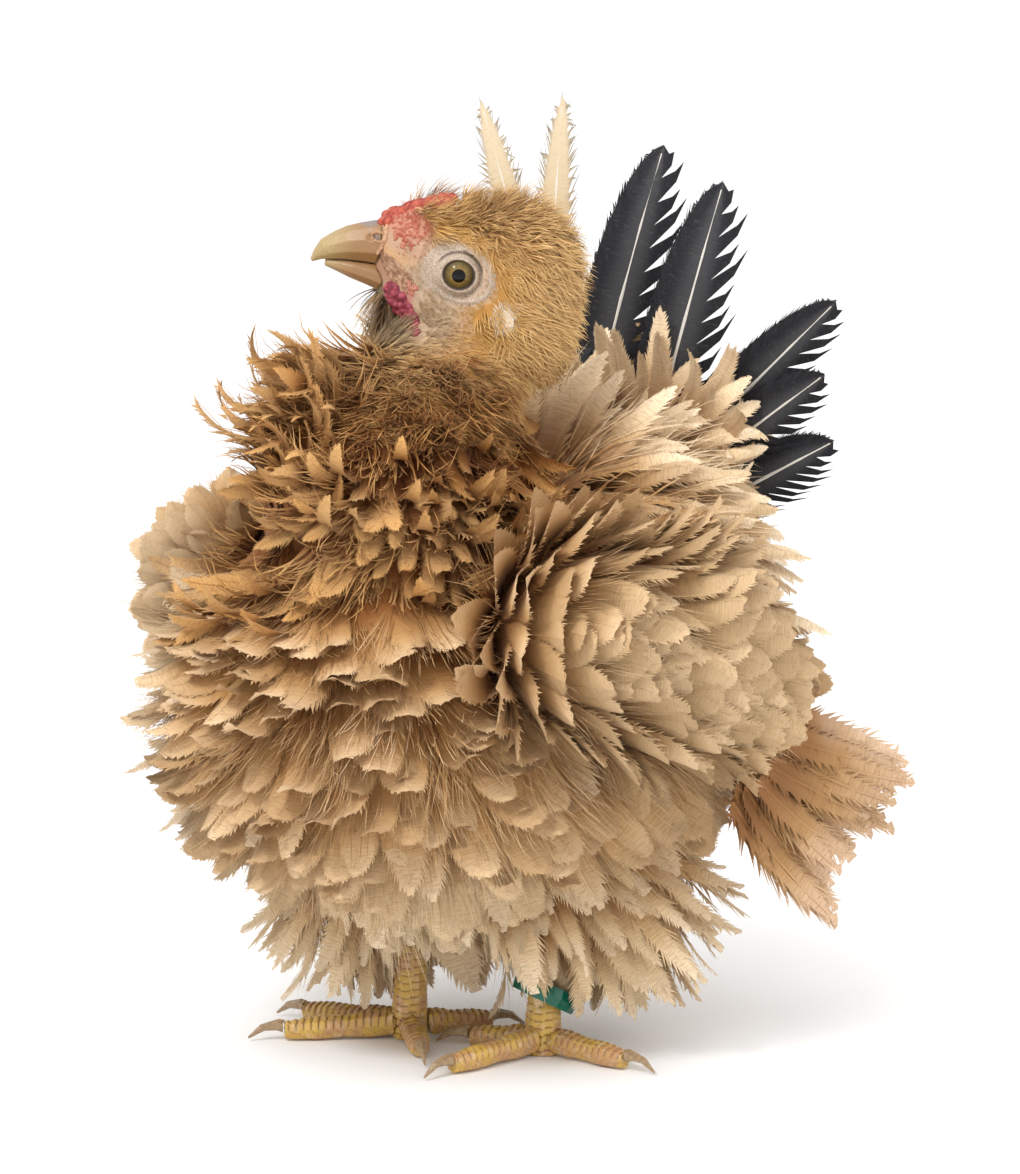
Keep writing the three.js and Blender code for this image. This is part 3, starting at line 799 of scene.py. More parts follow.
def grown(name, roots, lies, outs, picks, sizes, tones, shapes, material, slot, middle):
    """A coat piece: one plume on each root, along its lie, as one mesh."""
    mesh = bpy.data.meshes.new(name + "_roots")
    mesh.from_pydata(metres(roots).tolist(), [], [])
    sizes = np.repeat(np.asarray(sizes)[:, None], 3, 1)
    vectors = {"lie": lies, "out": outs, "size": sizes, "root": unrolled(roots, middle)}
    for key, values in vectors.items():
        flat = np.ascontiguousarray(values, float).ravel()
        mesh.attributes.new(key, "FLOAT_VECTOR", "POINT").data.foreach_set("vector", flat)
    numbers = ("pick", "INT", np.asarray(picks, int)), ("tone", "FLOAT", np.asarray(tones, float))
    for key, kind, values in numbers:
        mesh.attributes.new(key, kind, "POINT").data.foreach_set("value", values)
    made = bpy.data.objects.new(name, mesh)
    bpy.context.scene.collection.objects.link(made)
    held = kept_shapes(name + "_plumes", shapes)
    modifier = made.modifiers.new("coat", "NODES")
    modifier.node_group = COAT
    values = {"Plumes": held, "Material": material, "Patch Size": HALF_PATCH}
    for item in COAT.interface.items_tree:
        if item.item_type == "SOCKET" and item.in_out == "INPUT" and item.name in values:
            modifier[item.identifier] = values[item.name]
    made.update_tag()
    graph = bpy.context.evaluated_depsgraph_get()
    ready = made.evaluated_get(graph)
    coat = bpy.data.meshes.new_from_object(ready, preserve_all_data_layers=True, depsgraph=graph)
    made.modifiers.clear()
    made.data = coat
    coat.name = name
    for shape in list(held.objects):
        bpy.data.objects.remove(shape)
    bpy.data.collections.remove(held)
    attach(made, "root")


def laid(lies, outs):
    """Directions laid flat on the skin."""
    flat = lies - outs * (lies * outs).sum(1)[:, None]
    return flat / np.maximum(np.linalg.norm(flat, axis=1), 1e-6)[:, None]


def jittered(rng, lies, outs, spread):
    """Each lie turned about its outward direction by a random angle, in degrees."""
    turn = np.radians(rng.normal(0, spread, len(lies)))[:, None]
    return lies * np.cos(turn) + np.cross(outs, lies) * np.sin(turn)


def plumage(
    name, roughness, root=(0.42, 0.25, 0.14), tip=(0.80, 0.62, 0.40), tip_share=0.5, tint=(1, 1, 1)
):
    """Feather: darker at the root, which is painted shade where the feathers overlap, and paler at the
    tip, with fine barb lines.
    """
    made, tree, shader, where = material_of(name, roughness, Sheen_Weight=0.05, Specular_Ior_Level=0.2)
    patch = attribute(tree, "patch")["Vector"]
    tone = attribute(tree, "tone")["Fac"]
    along, draw = split(tree, patch)[1:]
    base = blended(tree, 1.0, grouped(tree, markings, where), tint, "MULTIPLY")
    # Painted shade: towards the root, which lies under the feathers above it, the colour is darkened.
    dark = blended(tree, 1.0, base, root, "MULTIPLY")
    colour = blended(tree, ramp(tree, along, 0.1, 0.75), dark, base)
    pale = ramp(tree, along, 0.5, 0.98, tip_share)
    pale = calc(tree, "MULTIPLY", pale, calc(tree, "ADD", 0.55, calc(tree, "MULTIPLY", tone, 0.9)))
    colour = blended(tree, pale, colour, tip)
    shade = calc(tree, "ADD", calc(tree, "MULTIPLY", tone, 0.26), calc(tree, "MULTIPLY", draw, 0.07))
    shade = calc(tree, "ADD", shade, 0.82)
    lit = tree.nodes.new("ShaderNodeCombineXYZ")
    for socket in lit.inputs:
        wire(tree, shade, socket)
    colour = blended(tree, 1.0, colour, lit.outputs[0], "MULTIPLY")
    fine = noise(tree, aim(tree, "MULTIPLY", patch, (1.5, 170, 9)), 1.0)
    colour = blended(tree, ramp(tree, fine, 0.4, 0.75, 0.45), colour, dark)
    wire(tree, colour, shader.inputs["Base Color"])
    bumped(tree, shader, fine, 0.4, 0.0003)
    return made


# Breast, belly, flanks and saddle: loose body feathers, rooted in the skin, that curl forward at the
# tip, so that they stand in shelves with a pale edge. Lower down they are softer and hang as a
# fringe, and on the back they stand up and curl over.
BODY_MIDDLE = BODIES["torso"][0]
NECK_BASE = np.array((0, -30, 175))
BODY_SAMPLES, BODY_SPACING = 60000, 3.5
HAIR_SHARE = 0.42
all_points, all_outs = skin_samples(BODY_SAMPLES, 11)
all_owners = owner_of(all_points)
REAR_LEFT = np.array((0.74, 0.67, 0))  # towards the right of the photograph


def roots_on(owners, spacing, keep=None):
    chosen = np.isin(all_owners, owners)
    points, outs = all_points[chosen], all_outs[chosen]
    kept = thinned(points, spacing)
    points, outs = points[kept], outs[kept]
    if keep is not None:
        chosen = keep(points)
        points, outs = points[chosen], outs[chosen]
    return points, outs


def smoothstep(x, low, high):
    t = np.clip((x - low) / (high - low), 0, 1)
    return t * t * (3 - 2 * t)


def away_from_neck(points):
    far = points - NECK_BASE
    return far / np.linalg.norm(far, axis=1)[:, None] + np.array((0, 0.25, -0.15))


BREAST_CURL, FRINGE_CURL = 88, 48
CURLS = np.array((22, 30, 42, 50, 62, 70, 84, 95, 110, 125))
WISP_CURLS = np.array((40, 75, 110))
FLUFF_CURLS = np.array((20, 35, 50, 62, 75, 90))


def nearest(wanted, choices):
    return np.abs(wanted[:, None] - choices).argmin(1)


def clear_of_floor(sizes, points, hang):
    """Sizes kept so small that feathers of the hang don't reach the floor."""
    return np.minimum(sizes, np.clip((points[:, 2] - 5) / hang, 0.2, 2))


def grow_body():
    rng = np.random.default_rng(21)
    shapes = plumes(100, CURLS, 34, 13, 10, 16, tip=0.65, loose=0.9, cup=0.35, bend=2.4)
    shapes += wisps(120, WISP_CURLS, 35, 16, 26, 12, 0.5, 0.13)
    fluffy = plumes(130, FLUFF_CURLS, 36, 13, 12, 15, loose=1.6, cup=0.2, bend=1.8)
    fluffy += wisps(140, (30, 60), 37, 16, 26, 14, 0.5, 0.13)
    points, outs = roots_on(["torso"], BODY_SPACING)
    lies = jittered(rng, laid(away_from_neck(points), outs), outs, 13)
    low = smoothstep(-points[:, 2], -80, -48)
    free = smoothstep(np.linalg.norm(points - NECK_BASE, axis=1), 40, 85)
    want = (BREAST_CURL + (FRINGE_CURL - BREAST_CURL) * low) * (0.5 + 0.5 * free)
    want += rng.normal(0, 18, len(points))
    outer = outs @ -REAR_LEFT
    want += 40 * smoothstep(outer, 0.3, 0.7) * low
    soft = rng.random(len(points)) < 0.1 + 0.8 * low
    hair = rng.random(len(points)) < HAIR_SHARE
    picks = np.where(hair, len(CURLS) + nearest(want, WISP_CURLS), nearest(want, CURLS))
    fluff_picks = np.where(hair, len(FLUFF_CURLS) + (want * 0.8 > 45), nearest(want * 0.8, FLUFF_CURLS))
    saddle = (points[:, 2] > 118) & (points[:, 1] > 5)
    rear = smoothstep(points[:, 1], 10, 60)
    sizes = rng.uniform(0.75, 1.1, len(points)) * (1 - 0.25 * rear)
    sizes *= 1 - 0.12 * rear * smoothstep(-points[:, 2], -95, -65)
    fringe = smoothstep(-points[:, 2], -72, -52) * (1 - rear)
    sizes *= 1 + (0.18 + 0.3 * smoothstep(outer, 0.3, 0.7)) * fringe
    sizes *= 1 - 0.25 * smoothstep(outer, 0.4, 0.8) * smoothstep(points[:, 2], 118, 135)
    sizes = clear_of_floor(sizes, points, 34)
    tones = rng.random(len(points))
    feather = plumage("feather_body", 0.75)
    fluff = plumage("feather_fluff", 0.85, tip=(0.82, 0.70, 0.53), tip_share=0.45)
    half = points[:, 0] > 0
    backward = (20, 0, -20, -40)
    curled = plumes(160, backward, 38, 9, 66, 14, tip=0.35, loose=1.4, bend=0.9, sway=0.12)
    curled += wisps(170, (10, -30), 40, 9, 12, 60, 0.8, 0.3)
    sizes = np.where(saddle, sizes * (1 + 0.3 * smoothstep(-points[:, 1], -45, -15)), sizes)
    saddle_picks = np.zeros(len(points), int)
    saddle_picks[saddle] = rng.integers(0, 6, saddle.sum())
    back_look = plumage("feather_saddle", 0.7, tip=(0.86, 0.72, 0.52), tip_share=0.6)
    for name, chosen, some, of_these, look in (
        ("feathers_front_left", ~soft & ~saddle & half, picks, shapes, feather),
        ("feathers_front_right", ~soft & ~saddle & ~half, picks, shapes, feather),
        ("fluff_left", soft & ~saddle & half, fluff_picks, fluffy, fluff),
        ("fluff_right", soft & ~saddle & ~half, fluff_picks, fluffy, fluff),
        ("feathers_saddle", saddle, saddle_picks, curled, back_look),
    ):
        chosen_of = [of[chosen] for of in (points, lies, outs, some, sizes, tones)]
        grown(name, *chosen_of, of_these, look, "buff_feather", BODY_MIDDLE)


grow_body()


# Thighs: soft hanging feathers down to the hocks, of loose barbs with hardly any vane. They are
# short between the legs and longer on the outside, as a skirt.
THIGH_SPACING = 4.0


def grow_thighs():
    rng = np.random.default_rng(31)
    shapes = plumes(200, (18, 28, 40, 52), 38, 11, 16, 12, tip=0.2, loose=2.0, cup=0.1)
    fluff = bpy.data.materials["feather_fluff"]
    for side, sign in (("left", 1), ("right", -1)):
        points, outs = roots_on(["thigh_" + side], THIGH_SPACING)
        count = len(points)
        skirt = smoothstep(outs @ REAR_LEFT * sign, 0.1, 0.65)
        down = np.stack([sign * 0.35 * skirt, np.full(count, 0.3), np.full(count, -1.0)], 1)
        lies = jittered(rng, laid(down, outs), outs, 12)
        sizes = (0.48 + 0.44 * skirt) * rng.uniform(0.85, 1.08, count)
        sizes = clear_of_floor(sizes, points, 39)
        picks, tones = rng.integers(0, 4, count), rng.random(count)
        middle = BODIES["thigh_" + side][0]
        name = "fluff_thigh_" + side
        grown(name, points, lies, outs, picks, sizes, tones, shapes, fluff, "buff_feather", middle)


grow_thighs()


# Neck: narrow hackles, redder than the body, rooted all round the neck. They leave it downwards and
# curl right over, and at her right front some leave it upwards and roll out as a ruff.
HACKLE_SPACING = 2.55
NECK_TOP = 193
COLLAR = (148, 178)  # from and to this height


def grow_hackles():
    rng = np.random.default_rng(41)
    shapes = wisps(230, (50, 80, 110, 140), 28, 11, 13, 20, 0.9, 0.22)
    form = dict(tip=0.3, loose=1.8, cup=0.35, bend=1.6, sway=0.25)
    shapes += plumes(240, (40, 60, 85, 105, 130, 160), 29, 7, 14, 15, **form)
    points, outs = roots_on(["neck"], HACKLE_SPACING, lambda at: at[:, 2] < NECK_TOP)
    ruff = smoothstep(outs @ -REAR_LEFT, 0.3, 0.8)
    collar = (ruff > 0.3) & (points[:, 2] > COLLAR[0]) & (points[:, 2] < COLLAR[1])
    down = np.stack([0 * ruff, -0.25 + 0 * ruff, np.where(collar, 1.0, -1.0)], 1)
    lies = jittered(rng, laid(down, outs), outs, 26)
    high = smoothstep(points[:, 2], 166, 186) * (1 - ruff)
    count = len(points)
    tufted = rng.random(count) < 1.6 * high
    picks = np.where(tufted, rng.integers(0, 3, count), rng.integers(0, 10, count))
    sizes = rng.uniform(0.65, 1.1, count) * (1 - 0.3 * high + 0.35 * ruff) * np.where(collar, 0.72, 1)
    nape = outs[:, 1] > 0.25
    picks = np.where(nape & (picks < 4) & (points[:, 2] < 180), rng.integers(4, 8, count), picks)
    sizes = np.where(nape, sizes * 1.25, sizes)
    look = plumage("feather_hackle", 0.7, (0.34, 0.19, 0.10), (0.62, 0.345, 0.12), 0.6)
    tones, middle = rng.random(count), (0, -25, 165)
    grown("hackles", points, lies, outs, picks, sizes, tones, shapes, look, "buff_feather", middle)


grow_hackles()


# Head: short golden down of a few fine blades a tuft, dense on crown and nape, and sparse and
# whitish on the face. It stands up round the comb and hangs longer from the throat.
DOWN_SAMPLES, DOWN_SPACING = 260000, 1.05


def grow_head_down():
    rng = np.random.default_rng(51)
    # Lying tufts, standing ones and the short ones of the face
    shapes = wisps(260, [4] * 4, 7.5, 3.4, 8, 26, 0.32)
    shapes += wisps(264, [24] * 3, 8.5, 3.4, 8, 62, 0.32)
    shapes += wisps(268, [10] * 3, 5, 2.2, 5, 30, 0.2)
    points, outs = skin_samples(DOWN_SAMPLES, 12)
    owners = owner_of(points)
    local = to_head(points)
    chosen = (owners == "head") | ((owners == "neck") & (points[:, 2] > 172))
    points, outs, local = points[chosen], outs[chosen], local[chosen]
    kept = thinned(points, DOWN_SPACING)
    points, outs, local = points[kept], outs[kept], local[kept]
    x, y, z = local.T
    eye = np.hypot((y + 1) / 1.2, z / 0.95)
    lores = np.hypot((y + 18) / 8.5, (z - 3) / 8)
    comb = (np.abs(x) < 3.4) & (y < -6) & (z > 3)
    bare = (eye < 6.6) | (y < -23.5) | ((y < -16) & (np.abs(z + 4) < 5))
    cheek = np.hypot((y + 8) / 18, (z + 15) / 15)
    face = [smoothstep(-cheek, -1.1, -0.8), smoothstep(-eye, -10.5, -8), smoothstep(-lores, -1.2, -0.8)]
    face = np.maximum.reduce(face)
    # The strips under the wattle and the gape are bare too
    for a, b, wide in (((-16.6, -9.8), (-6.4, -18.6), 2.7), ((-25, -3), (-10, -10), 2.6)):
        run = np.subtract(b, a)
        t = np.clip(((local[:, 1:] - a) @ run) / (run @ run), 0, 1)
        gap = np.linalg.norm(local[:, 1:] - a - t[:, None] * run, axis=1)
        bare |= (gap < wide) & (np.abs(x) > 4.5)
    keep = ~bare & ~comb & (rng.random(len(points)) > smoothstep(-lores, -1.0, -0.6) * 0.85)
    points, outs, face, eye, lores = (some[keep] for some in (points, outs, face, eye, lores))
    x, y, z = local[keep].T
    count = len(points)
    lie = in_head(np.tile((0, 1.0, -0.45), (count, 1))) - np.array(HEAD.translation)
    lies = jittered(rng, laid(lie, outs), outs, 18)
    crown = smoothstep(z, 8, 15) * smoothstep(-y, -22, -6)
    upright = rng.random(count) < crown
    picks = np.where(upright, rng.integers(4, 7, count), rng.integers(0, 4, count))
    picks = np.where(face > 0.4, rng.integers(7, 10, count), picks)
    beyond_comb = (x < -1) & (y < -2) & (y > -24) & (z > 6)
    picks = np.where(beyond_comb, rng.integers(4, 7, count), picks)
    throat = smoothstep(-z, 9, 18)
    beard = (throat > 0.4) & (y < -9) & (np.abs(x) < 4.5)
    picks = np.where(beard, rng.integers(4, 7, count), picks)
    bristly = 0.8 * smoothstep(-lores, -1.1, -0.7) + smoothstep(-eye, -9.5, -7.5)
    sizes = rng.uniform(0.7, 1.15, count) * (1 - 0.25 * face * (1 - throat))
    sizes *= 1 - 0.45 * np.clip(bristly, 0, 1)
    sizes *= 1 + throat * face * smoothstep(-y, 0, 10) * (1 + 0.6 * smoothstep(-y, 10, 18))
    sizes *= 1 + 0.5 * beyond_comb + 0.6 * smoothstep(y, 6, 20)
    look = plumage("feather_head", 0.8, (0.80, 0.68, 0.52), (0.86, 0.62, 0.28), 0.4)
    tones = rng.random(count)
    for name, half in (("head_down_left", x > 0), ("head_down_right", x <= 0)):
        chosen_of = [of[half] for of in (points, lies, outs, picks, sizes, tones)]
        grown(name, *chosen_of, shapes, look, "gold_down", HEAD.translation)


grow_head_down()


# Wings: rows of broad smooth coverts that lie away from the shoulder and over one another, and
# drooping flight feathers, rooted in the wing's rear edge, whose barbs have come apart into a fray.
WING_COVERT = plumage("feather_wing", 0.62, (0.40, 0.25, 0.15), (0.72, 0.53, 0.33))
WING_FLIGHT = plumage(
    "feather_flight", 0.7, (0.5, 0.38, 0.3), (0.76, 0.55, 0.38), 0.65, (0.95, 0.92, 0.95)
)
SHOULDER = (26, -42, 126)  # the left one
COVERT_SPACING = 3.7
FLIGHT_COUNT = 26
RIGHT_SIZE = 0.62  # of the coverts on her far wing


def grow_wing(side, sign):
    rng = np.random.default_rng(61 + sign)
    middle = BODIES["wing_" + side][0]
    shapes = plumes(300, (16, 22, 30, 38, 48), 26, 14, 8, 16, tip=0.65, cup=0.4)
    shapes += wisps(306, (24, 44), 28, 15, 24, 10, 0.5, 0.1)
    points, outs = roots_on(["wing_" + side], COVERT_SPACING)
    fan = points - np.array(SHOULDER) * (sign, 1, 1)
    lies = jittered(rng, laid(fan, outs), outs, 8)
    picks = rng.integers(0, 7, len(points))
    sizes = rng.uniform(0.85, 1.1, len(points)) * (1 - 0.35 * smoothstep(points[:, 1], 0, 40))
    sizes *= 1 if sign > 0 else RIGHT_SIZE
    tones = rng.random(len(points))
    name = "coverts_" + side
    grown(name, points, lies, outs, picks, sizes, tones, shapes, WING_COVERT, "buff_feather", middle)
    curls = (18, 30, 44, 58)
    shapes = plumes(330, curls, 46, 13, 4, 15, tip=0.3, loose=2.6, shaft=0.7, cup=0.05)
    count = FLIGHT_COUNT
    t = np.linspace(0, 1, count)
    out = sign * (68 - t * 6 + rng.normal(0, 2, count))
    roots = np.stack([out, 48 - 12 * t, 88 - 17 * t + rng.normal(0, 3, count)], 1)
    lies = np.stack([np.full(count, sign * -0.08), 0.86 - 0.3 * t, -0.32 - 0.36 * t], 1)
    outs = np.tile((sign * 1.0, 0, 0), (count, 1))
    lies = jittered(rng, laid(lies, outs), outs, 5)
    outs = laid(outs, lies)
    picks, sizes, tones = rng.integers(0, 4, count), rng.uniform(0.9, 1.1, count), rng.random(count)
    name = "flights_" + side
    grown(name, roots, lies, outs, picks, sizes, tones, shapes, WING_FLIGHT, "buff_feather", middle)


grow_wing("left", 1)
grow_wing("right", -1)


# Tail: a fan of a few long feathers, cream on her right and black with pale shafts on her left. The
# barbs of the black ones stand apart in pointed bunches. Curled cream coverts hide their roots in
# the tail stub. Each has the place of its root, that of its tip, and how black it is.
TAIL_FEATHERS = [
    ((-29, 79, 160), (-88.5, 98, 252), 0.22),
    ((-28, 77, 163), (-60, 90, 220), 0.85),
    ((-38, 74, 160), (-51, 93, 255.5), 0.22),
    ((-32, 84, 156), (-17, 98, 243), 1),
    ((-6, 82, 156), (8, 97, 233), 1),
    ((0, 86, 152), (46, 101, 201), 1),
    ((6, 83, 148), (47, 95, 181), 1),
    ((12, 86, 140), (46, 101, 161), 1),
    ((-30, 86, 154), (-88, 105, 220), 0.1),
    ((-34, 82, 148), (-92, 97, 190), 0.9),
    ((-30, 86, 142), (-84, 101, 160), 0.2),
]
TAIL_ROWS = 36
TAIL_COVERT_SPACING = 3.6
FAN_FACE = np.array((0.5, -0.86, 0))


def tail_material():
    made, tree, shader, where = material_of("feather_tail", 0.55, Specular_Ior_Level=0.2)
    patch = attribute(tree, "patch")["Vector"]
    tone = attribute(tree, "tone")["Fac"]
    across, along, draw = split(tree, patch)
    fine = noise(tree, aim(tree, "MULTIPLY", patch, (3.0, 90, 40)), 1.0, 3.0)
    cream = blended(tree, ramp(tree, along, 0.3, 0.95), (0.42, 0.31, 0.18), (0.56, 0.45, 0.30))
    edge = ramp(tree, calc(tree, "ABSOLUTE", across), 0.25, 0.8)
    dusky = calc(tree, "MULTIPLY", calc(tree, "MULTIPLY", edge, ramp(tree, along, 0.3, 0.9)), 0.6)
    cream = blended(tree, dusky, cream, (0.06, 0.055, 0.055))
    sheen = ramp(tree, calc(tree, "ABSOLUTE", across), 0.5, 0.05, 0.12)
    black = blended(tree, sheen, (0.010, 0.010, 0.013), (0.30, 0.30, 0.31))
    colour = blended(tree, ramp(tree, tone, 0.3, 0.7), cream, black)
    colour = blended(tree, ramp(tree, fine, 0.5, 0.8, 0.16), colour, (0.16, 0.145, 0.14))
    colour = blended(tree, ramp(tree, draw, 1.4, 1.6), colour, (0.66, 0.62, 0.56))
    wire(tree, colour, shader.inputs["Base Color"])
    bumped(tree, shader, fine, 0.4, 0.0003)
    return made


def grow_tail():
    rng = np.random.default_rng(71)
    shapes, roots, lies, outs, tones = [], [], [], [], []
    for root, tip, black in TAIL_FEATHERS:
        length = np.linalg.norm(np.subtract(tip, root))
        lie = np.subtract(tip, root) / length
        face = FAN_FACE - lie * (lie @ FAN_FACE)
        face /= np.linalg.norm(face)
        dark = black > 0.5
        width = 15 if not dark else 23 if tip[2] > 210 else 19
        loose, sides = (1.1, (-1,)) if dark else (2.4, ())
        curl, seed = -rng.uniform(6, 14), 380 + len(shapes)
        form = dict(tip=0.35, loose=loose, shaft=0.75, cup=0.12, sway=0.02, parted=sides)
        shape = plume(length, width, 5, curl, TAIL_ROWS, seed, **form)
        end = shape[0][-1]
        bow = math.atan2(end[2], end[0])
        shapes.append(shape)
        roots.append(root)
        lies.append(lie * math.cos(bow) - face * math.sin(bow))
        outs.append(lie * math.sin(bow) + face * math.cos(bow))
        tones.append(black)
    roots, lies, outs = (np.array(some, float) for some in (roots, lies, outs))
    count, middle = len(shapes), BODIES["stub"][0]
    picks, sizes, look = np.arange(count), np.ones(count), tail_material()
    name = "tail_feathers"
    grown(name, roots, lies, outs, picks, sizes, tones, shapes, look, "black_feather", middle)
    points, outs = roots_on(["stub"], TAIL_COVERT_SPACING)
    away = points - np.array((0, 40, 135))
    lies = jittered(rng, laid(away, outs), outs, 16)
    shapes = plumes(400, (-40, -10, 90, 130), 44, 10, 30, 13, tip=0.3, loose=1.3, sway=0.15)
    count, look = len(points), bpy.data.materials["feather_saddle"]
    picks, sizes = rng.integers(0, 4, count), rng.uniform(0.55, 0.85, count)
    sizes *= 1 - 0.5 * smoothstep(outs @ REAR_LEFT, 0.1, 0.6)
    name, tones = "tail_coverts", rng.random(count)
    grown(name, points, lies, outs, picks, sizes, tones, shapes, look, "buff_feather", middle)


grow_tail()


# Eyes: a wet glossy ball in each socket, with a clear bulge over an olive-brown iris and a round
# black pupil.
def eye_material():
    wet = dict(Coat_Weight=0.4, Coat_Roughness=0.02, Specular_Ior_Level=0.02)
    made, tree, shader, where = material_of("eye_glossy", 0.3, **wet)
    local = in_head_frame(tree, where)
    flat = aim(tree, "MULTIPLY", local, (0, 1, 1))
    away = aim(tree, "LENGTH", flat)
    rays = noise(tree, aim(tree, "MULTIPLY", aim(tree, "NORMALIZE", flat), (7, 7, 7)), 1.6, 4.0)
    iris = blended(tree, ramp(tree, away, 1.6, 3.6), (0.26, 0.165, 0.04), (0.095, 0.07, 0.02))
    iris = blended(tree, ramp(tree, rays, 0.35, 0.7), iris, (0.09, 0.06, 0.02))
    colour = blended(tree, ramp(tree, away, 1.75, 1.95), (0.002, 0.002, 0.003), iris)
    colour = blended(tree, ramp(tree, away, 3.6, 4.1), colour, (0.02, 0.014, 0.01))
    wire(tree, colour, shader.inputs["Base Color"])
    return made


EYE_RADIUS = 5.75
BULGE, BULGE_REACH = 0.35, 4
SIDES = ((1, "left"), (-1, "right"))
eye_look = eye_material()
ball, ball_faces = unit_ball(5)
for side, name in SIDES:
    away = np.hypot(ball[:, 1], ball[:, 2]) * EYE_RADIUS
    bulge = np.where(ball[:, 0] * side > 0, BULGE * np.clip(1 - (away / BULGE_REACH) ** 2, 0, 1), 0)
    points = ball * EYE_RADIUS + np.array((side * EYE_AT, 0, 0))
    points[:, 0] += side * bulge
    eyeball = new_piece(f"eyeball_{name}", in_head(points), ball_faces, eye_look)
    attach(eyeball, "root")
    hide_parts(f"eye_{name}")


# Lids and the bare ring about each eye: pale, finely folded skin with a thick rim at the ball, running
# out into the cheek. Painted shade darkens the skin inside the rim, against the ball, and a painted
# shadow line runs along the crease above the eye.
def own_mesh(made):
    mesh = made.data
    points = millimetres([made.matrix_world @ v.co for v in mesh.vertices])
    return points, [list(f.vertices) for f in mesh.polygons]


def surface_of(*objects):
    points, faces = [], []
    for made in objects:
        some, ring = own_mesh(made)
        base = sum(len(p) for p in points)
        points.append(some)
        faces += [[base + i for i in f] for f in ring]
    return BVHTree.FromPolygons(np.vstack(points).tolist(), faces)


nodes = frame["nodes"]
head_surface = surface_of(skin, nodes["beak_upper"], nodes["beak_lower"])


def on_face(side, y, z):
    """The head's half width at a height and depth of its own frame, on one side."""
    start, ahead = in_head([(side * 40, y, z), (side * 39, y, z)])
    hit = head_surface.ray_cast(Vector(start), Vector(ahead - start))
    return abs(to_head(np.array([hit[0]]))[0, 0]) if hit[0] else 0.0


def lid_material(pale, fold, dark):
    made, tree, shader, where = material_of("eyelid_skin", 0.55)
    local = in_head_frame(tree, where)
    pores = noise(tree, local, 2.4, 3.0)
    colour = blended(tree, ramp(tree, pores, 0.35, 0.7), pale, fold)
    away = aim(tree, "LENGTH", aim(tree, "MULTIPLY", local, (0, 1, 1.08)))
    # Painted shade: the skin inside the rim, against the ball, is darkened.
    colour = blended(tree, ramp(tree, away, 4.75, 4.3), colour, dark)
    # Painted shadow: a dark line along the crease round the eye, above it only.
    crease = calc(tree, "ADD", 6.1, calc(tree, "MULTIPLY", pores, 0.6))
    line = ramp(tree, calc(tree, "ABSOLUTE", calc(tree, "SUBTRACT", away, crease)), 0.55, 0.15)
    above = ramp(tree, split(tree, local)[2], 0.5, 3.0)
    line = calc(tree, "MULTIPLY", calc(tree, "MULTIPLY", line, above), 0.75)
    wire(tree, blended(tree, line, colour, dark), shader.inputs["Base Color"])
    wrinkles = noise(tree, aim(tree, "MULTIPLY", local, (1, 1, 1.6)), 3.2, 4.0)
    bumped(tree, shader, wrinkles, 0.6, 0.0004)
    return made


LID_EDGE, LID_REACH = 3.7, 10
LID_TURNS = 120
LID_AT = 13.3  # the rim's distance from the head's middle


def eyelids(side, name, look):
    rows = np.concatenate([np.linspace(LID_EDGE, 6, 12), np.linspace(6.3, LID_REACH, 14)])
    turns = LID_TURNS
    points = []
    for k, r in enumerate(rows):
        for i in range(turns):
            a = 2 * math.pi * i / turns
            wider = 0.012 * max(r - 5, 0)
            y, z = r * math.cos(a) * (1.05 + wider), r * math.sin(a) * (0.93 - wider)
            if r < 4.1:
                x = EYE_AT + math.sqrt(EYE_RADIUS**2 - r * r) + 0.1
            else:
                out = smoothstep(r, 4.8, 8.2)
                roll = 0.35 * math.exp(-(((r - 4.7) / 0.75) ** 2))
                wave = 1.1 * math.sin(2 * a) + 0.7 * math.sin(5 * a + 1) + 0.4 * math.sin(11 * a)
                fold = 0.09 * math.sin((r - 4.7) * 4.3 + wave) * smoothstep(r, 4.8, 5.6)
                x = LID_AT * (1 - out) + on_face(side, y, z) * out + roll
                x += fold * (1 - 0.7 * smoothstep(r, 6, 10))
                x += 0.4 - 0.55 * smoothstep(r, 7.8, 10)
            points.append((side * x, y, z))
    faces = []
    for k in range(len(rows) - 1):
        for i in range(turns):
            a, b = k * turns + i, k * turns + (i + 1) % turns
            ring = [a, b, b + turns, a + turns]
            faces.append(ring[::-1] if side > 0 else ring)
    lids = new_piece(f"eyelids_{name}", in_head(points), faces, look)
    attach(lids, "root")


lid_look = lid_material((0.50, 0.395, 0.305), (0.31, 0.225, 0.16), (0.05, 0.03, 0.02))
eyelids(1, "left", lid_look)
eyelids(-1, "right", lid_look)


# Comb: a low, rough ridge of bright red flesh along the middle of the head, all small knobs, that
# fades into the bare skin before it.
def knobbly(name, centres, sizes, voxel, look, slot, *replaced):
    """One piece of overlapping balls, in the head's frame."""
    small, small_faces = unit_ball(2)
    parts = [(in_head(np.array(at) + small * size), small_faces) for at, size in zip(centres, sizes)]
    made = fused(name, parts, voxel, 2)
    made.data.materials.append(look)
    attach(made, "root")
    if replaced:
        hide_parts(*replaced)


def flesh(name, deep, light, size):
    made, tree, shader, where = material_of(name, 0.5, Specular_Ior_Level=0.35)
    local = in_head_frame(tree, where)
    grain = noise(tree, local, size, 4.0)
    colour = blended(tree, ramp(tree, grain, 0.38, 0.66), deep, light)
    wire(tree, colour, shader.inputs["Base Color"])
    bumped(tree, shader, noise(tree, local, size * 2.2, 3.0), 0.7, 0.0005)
    return made


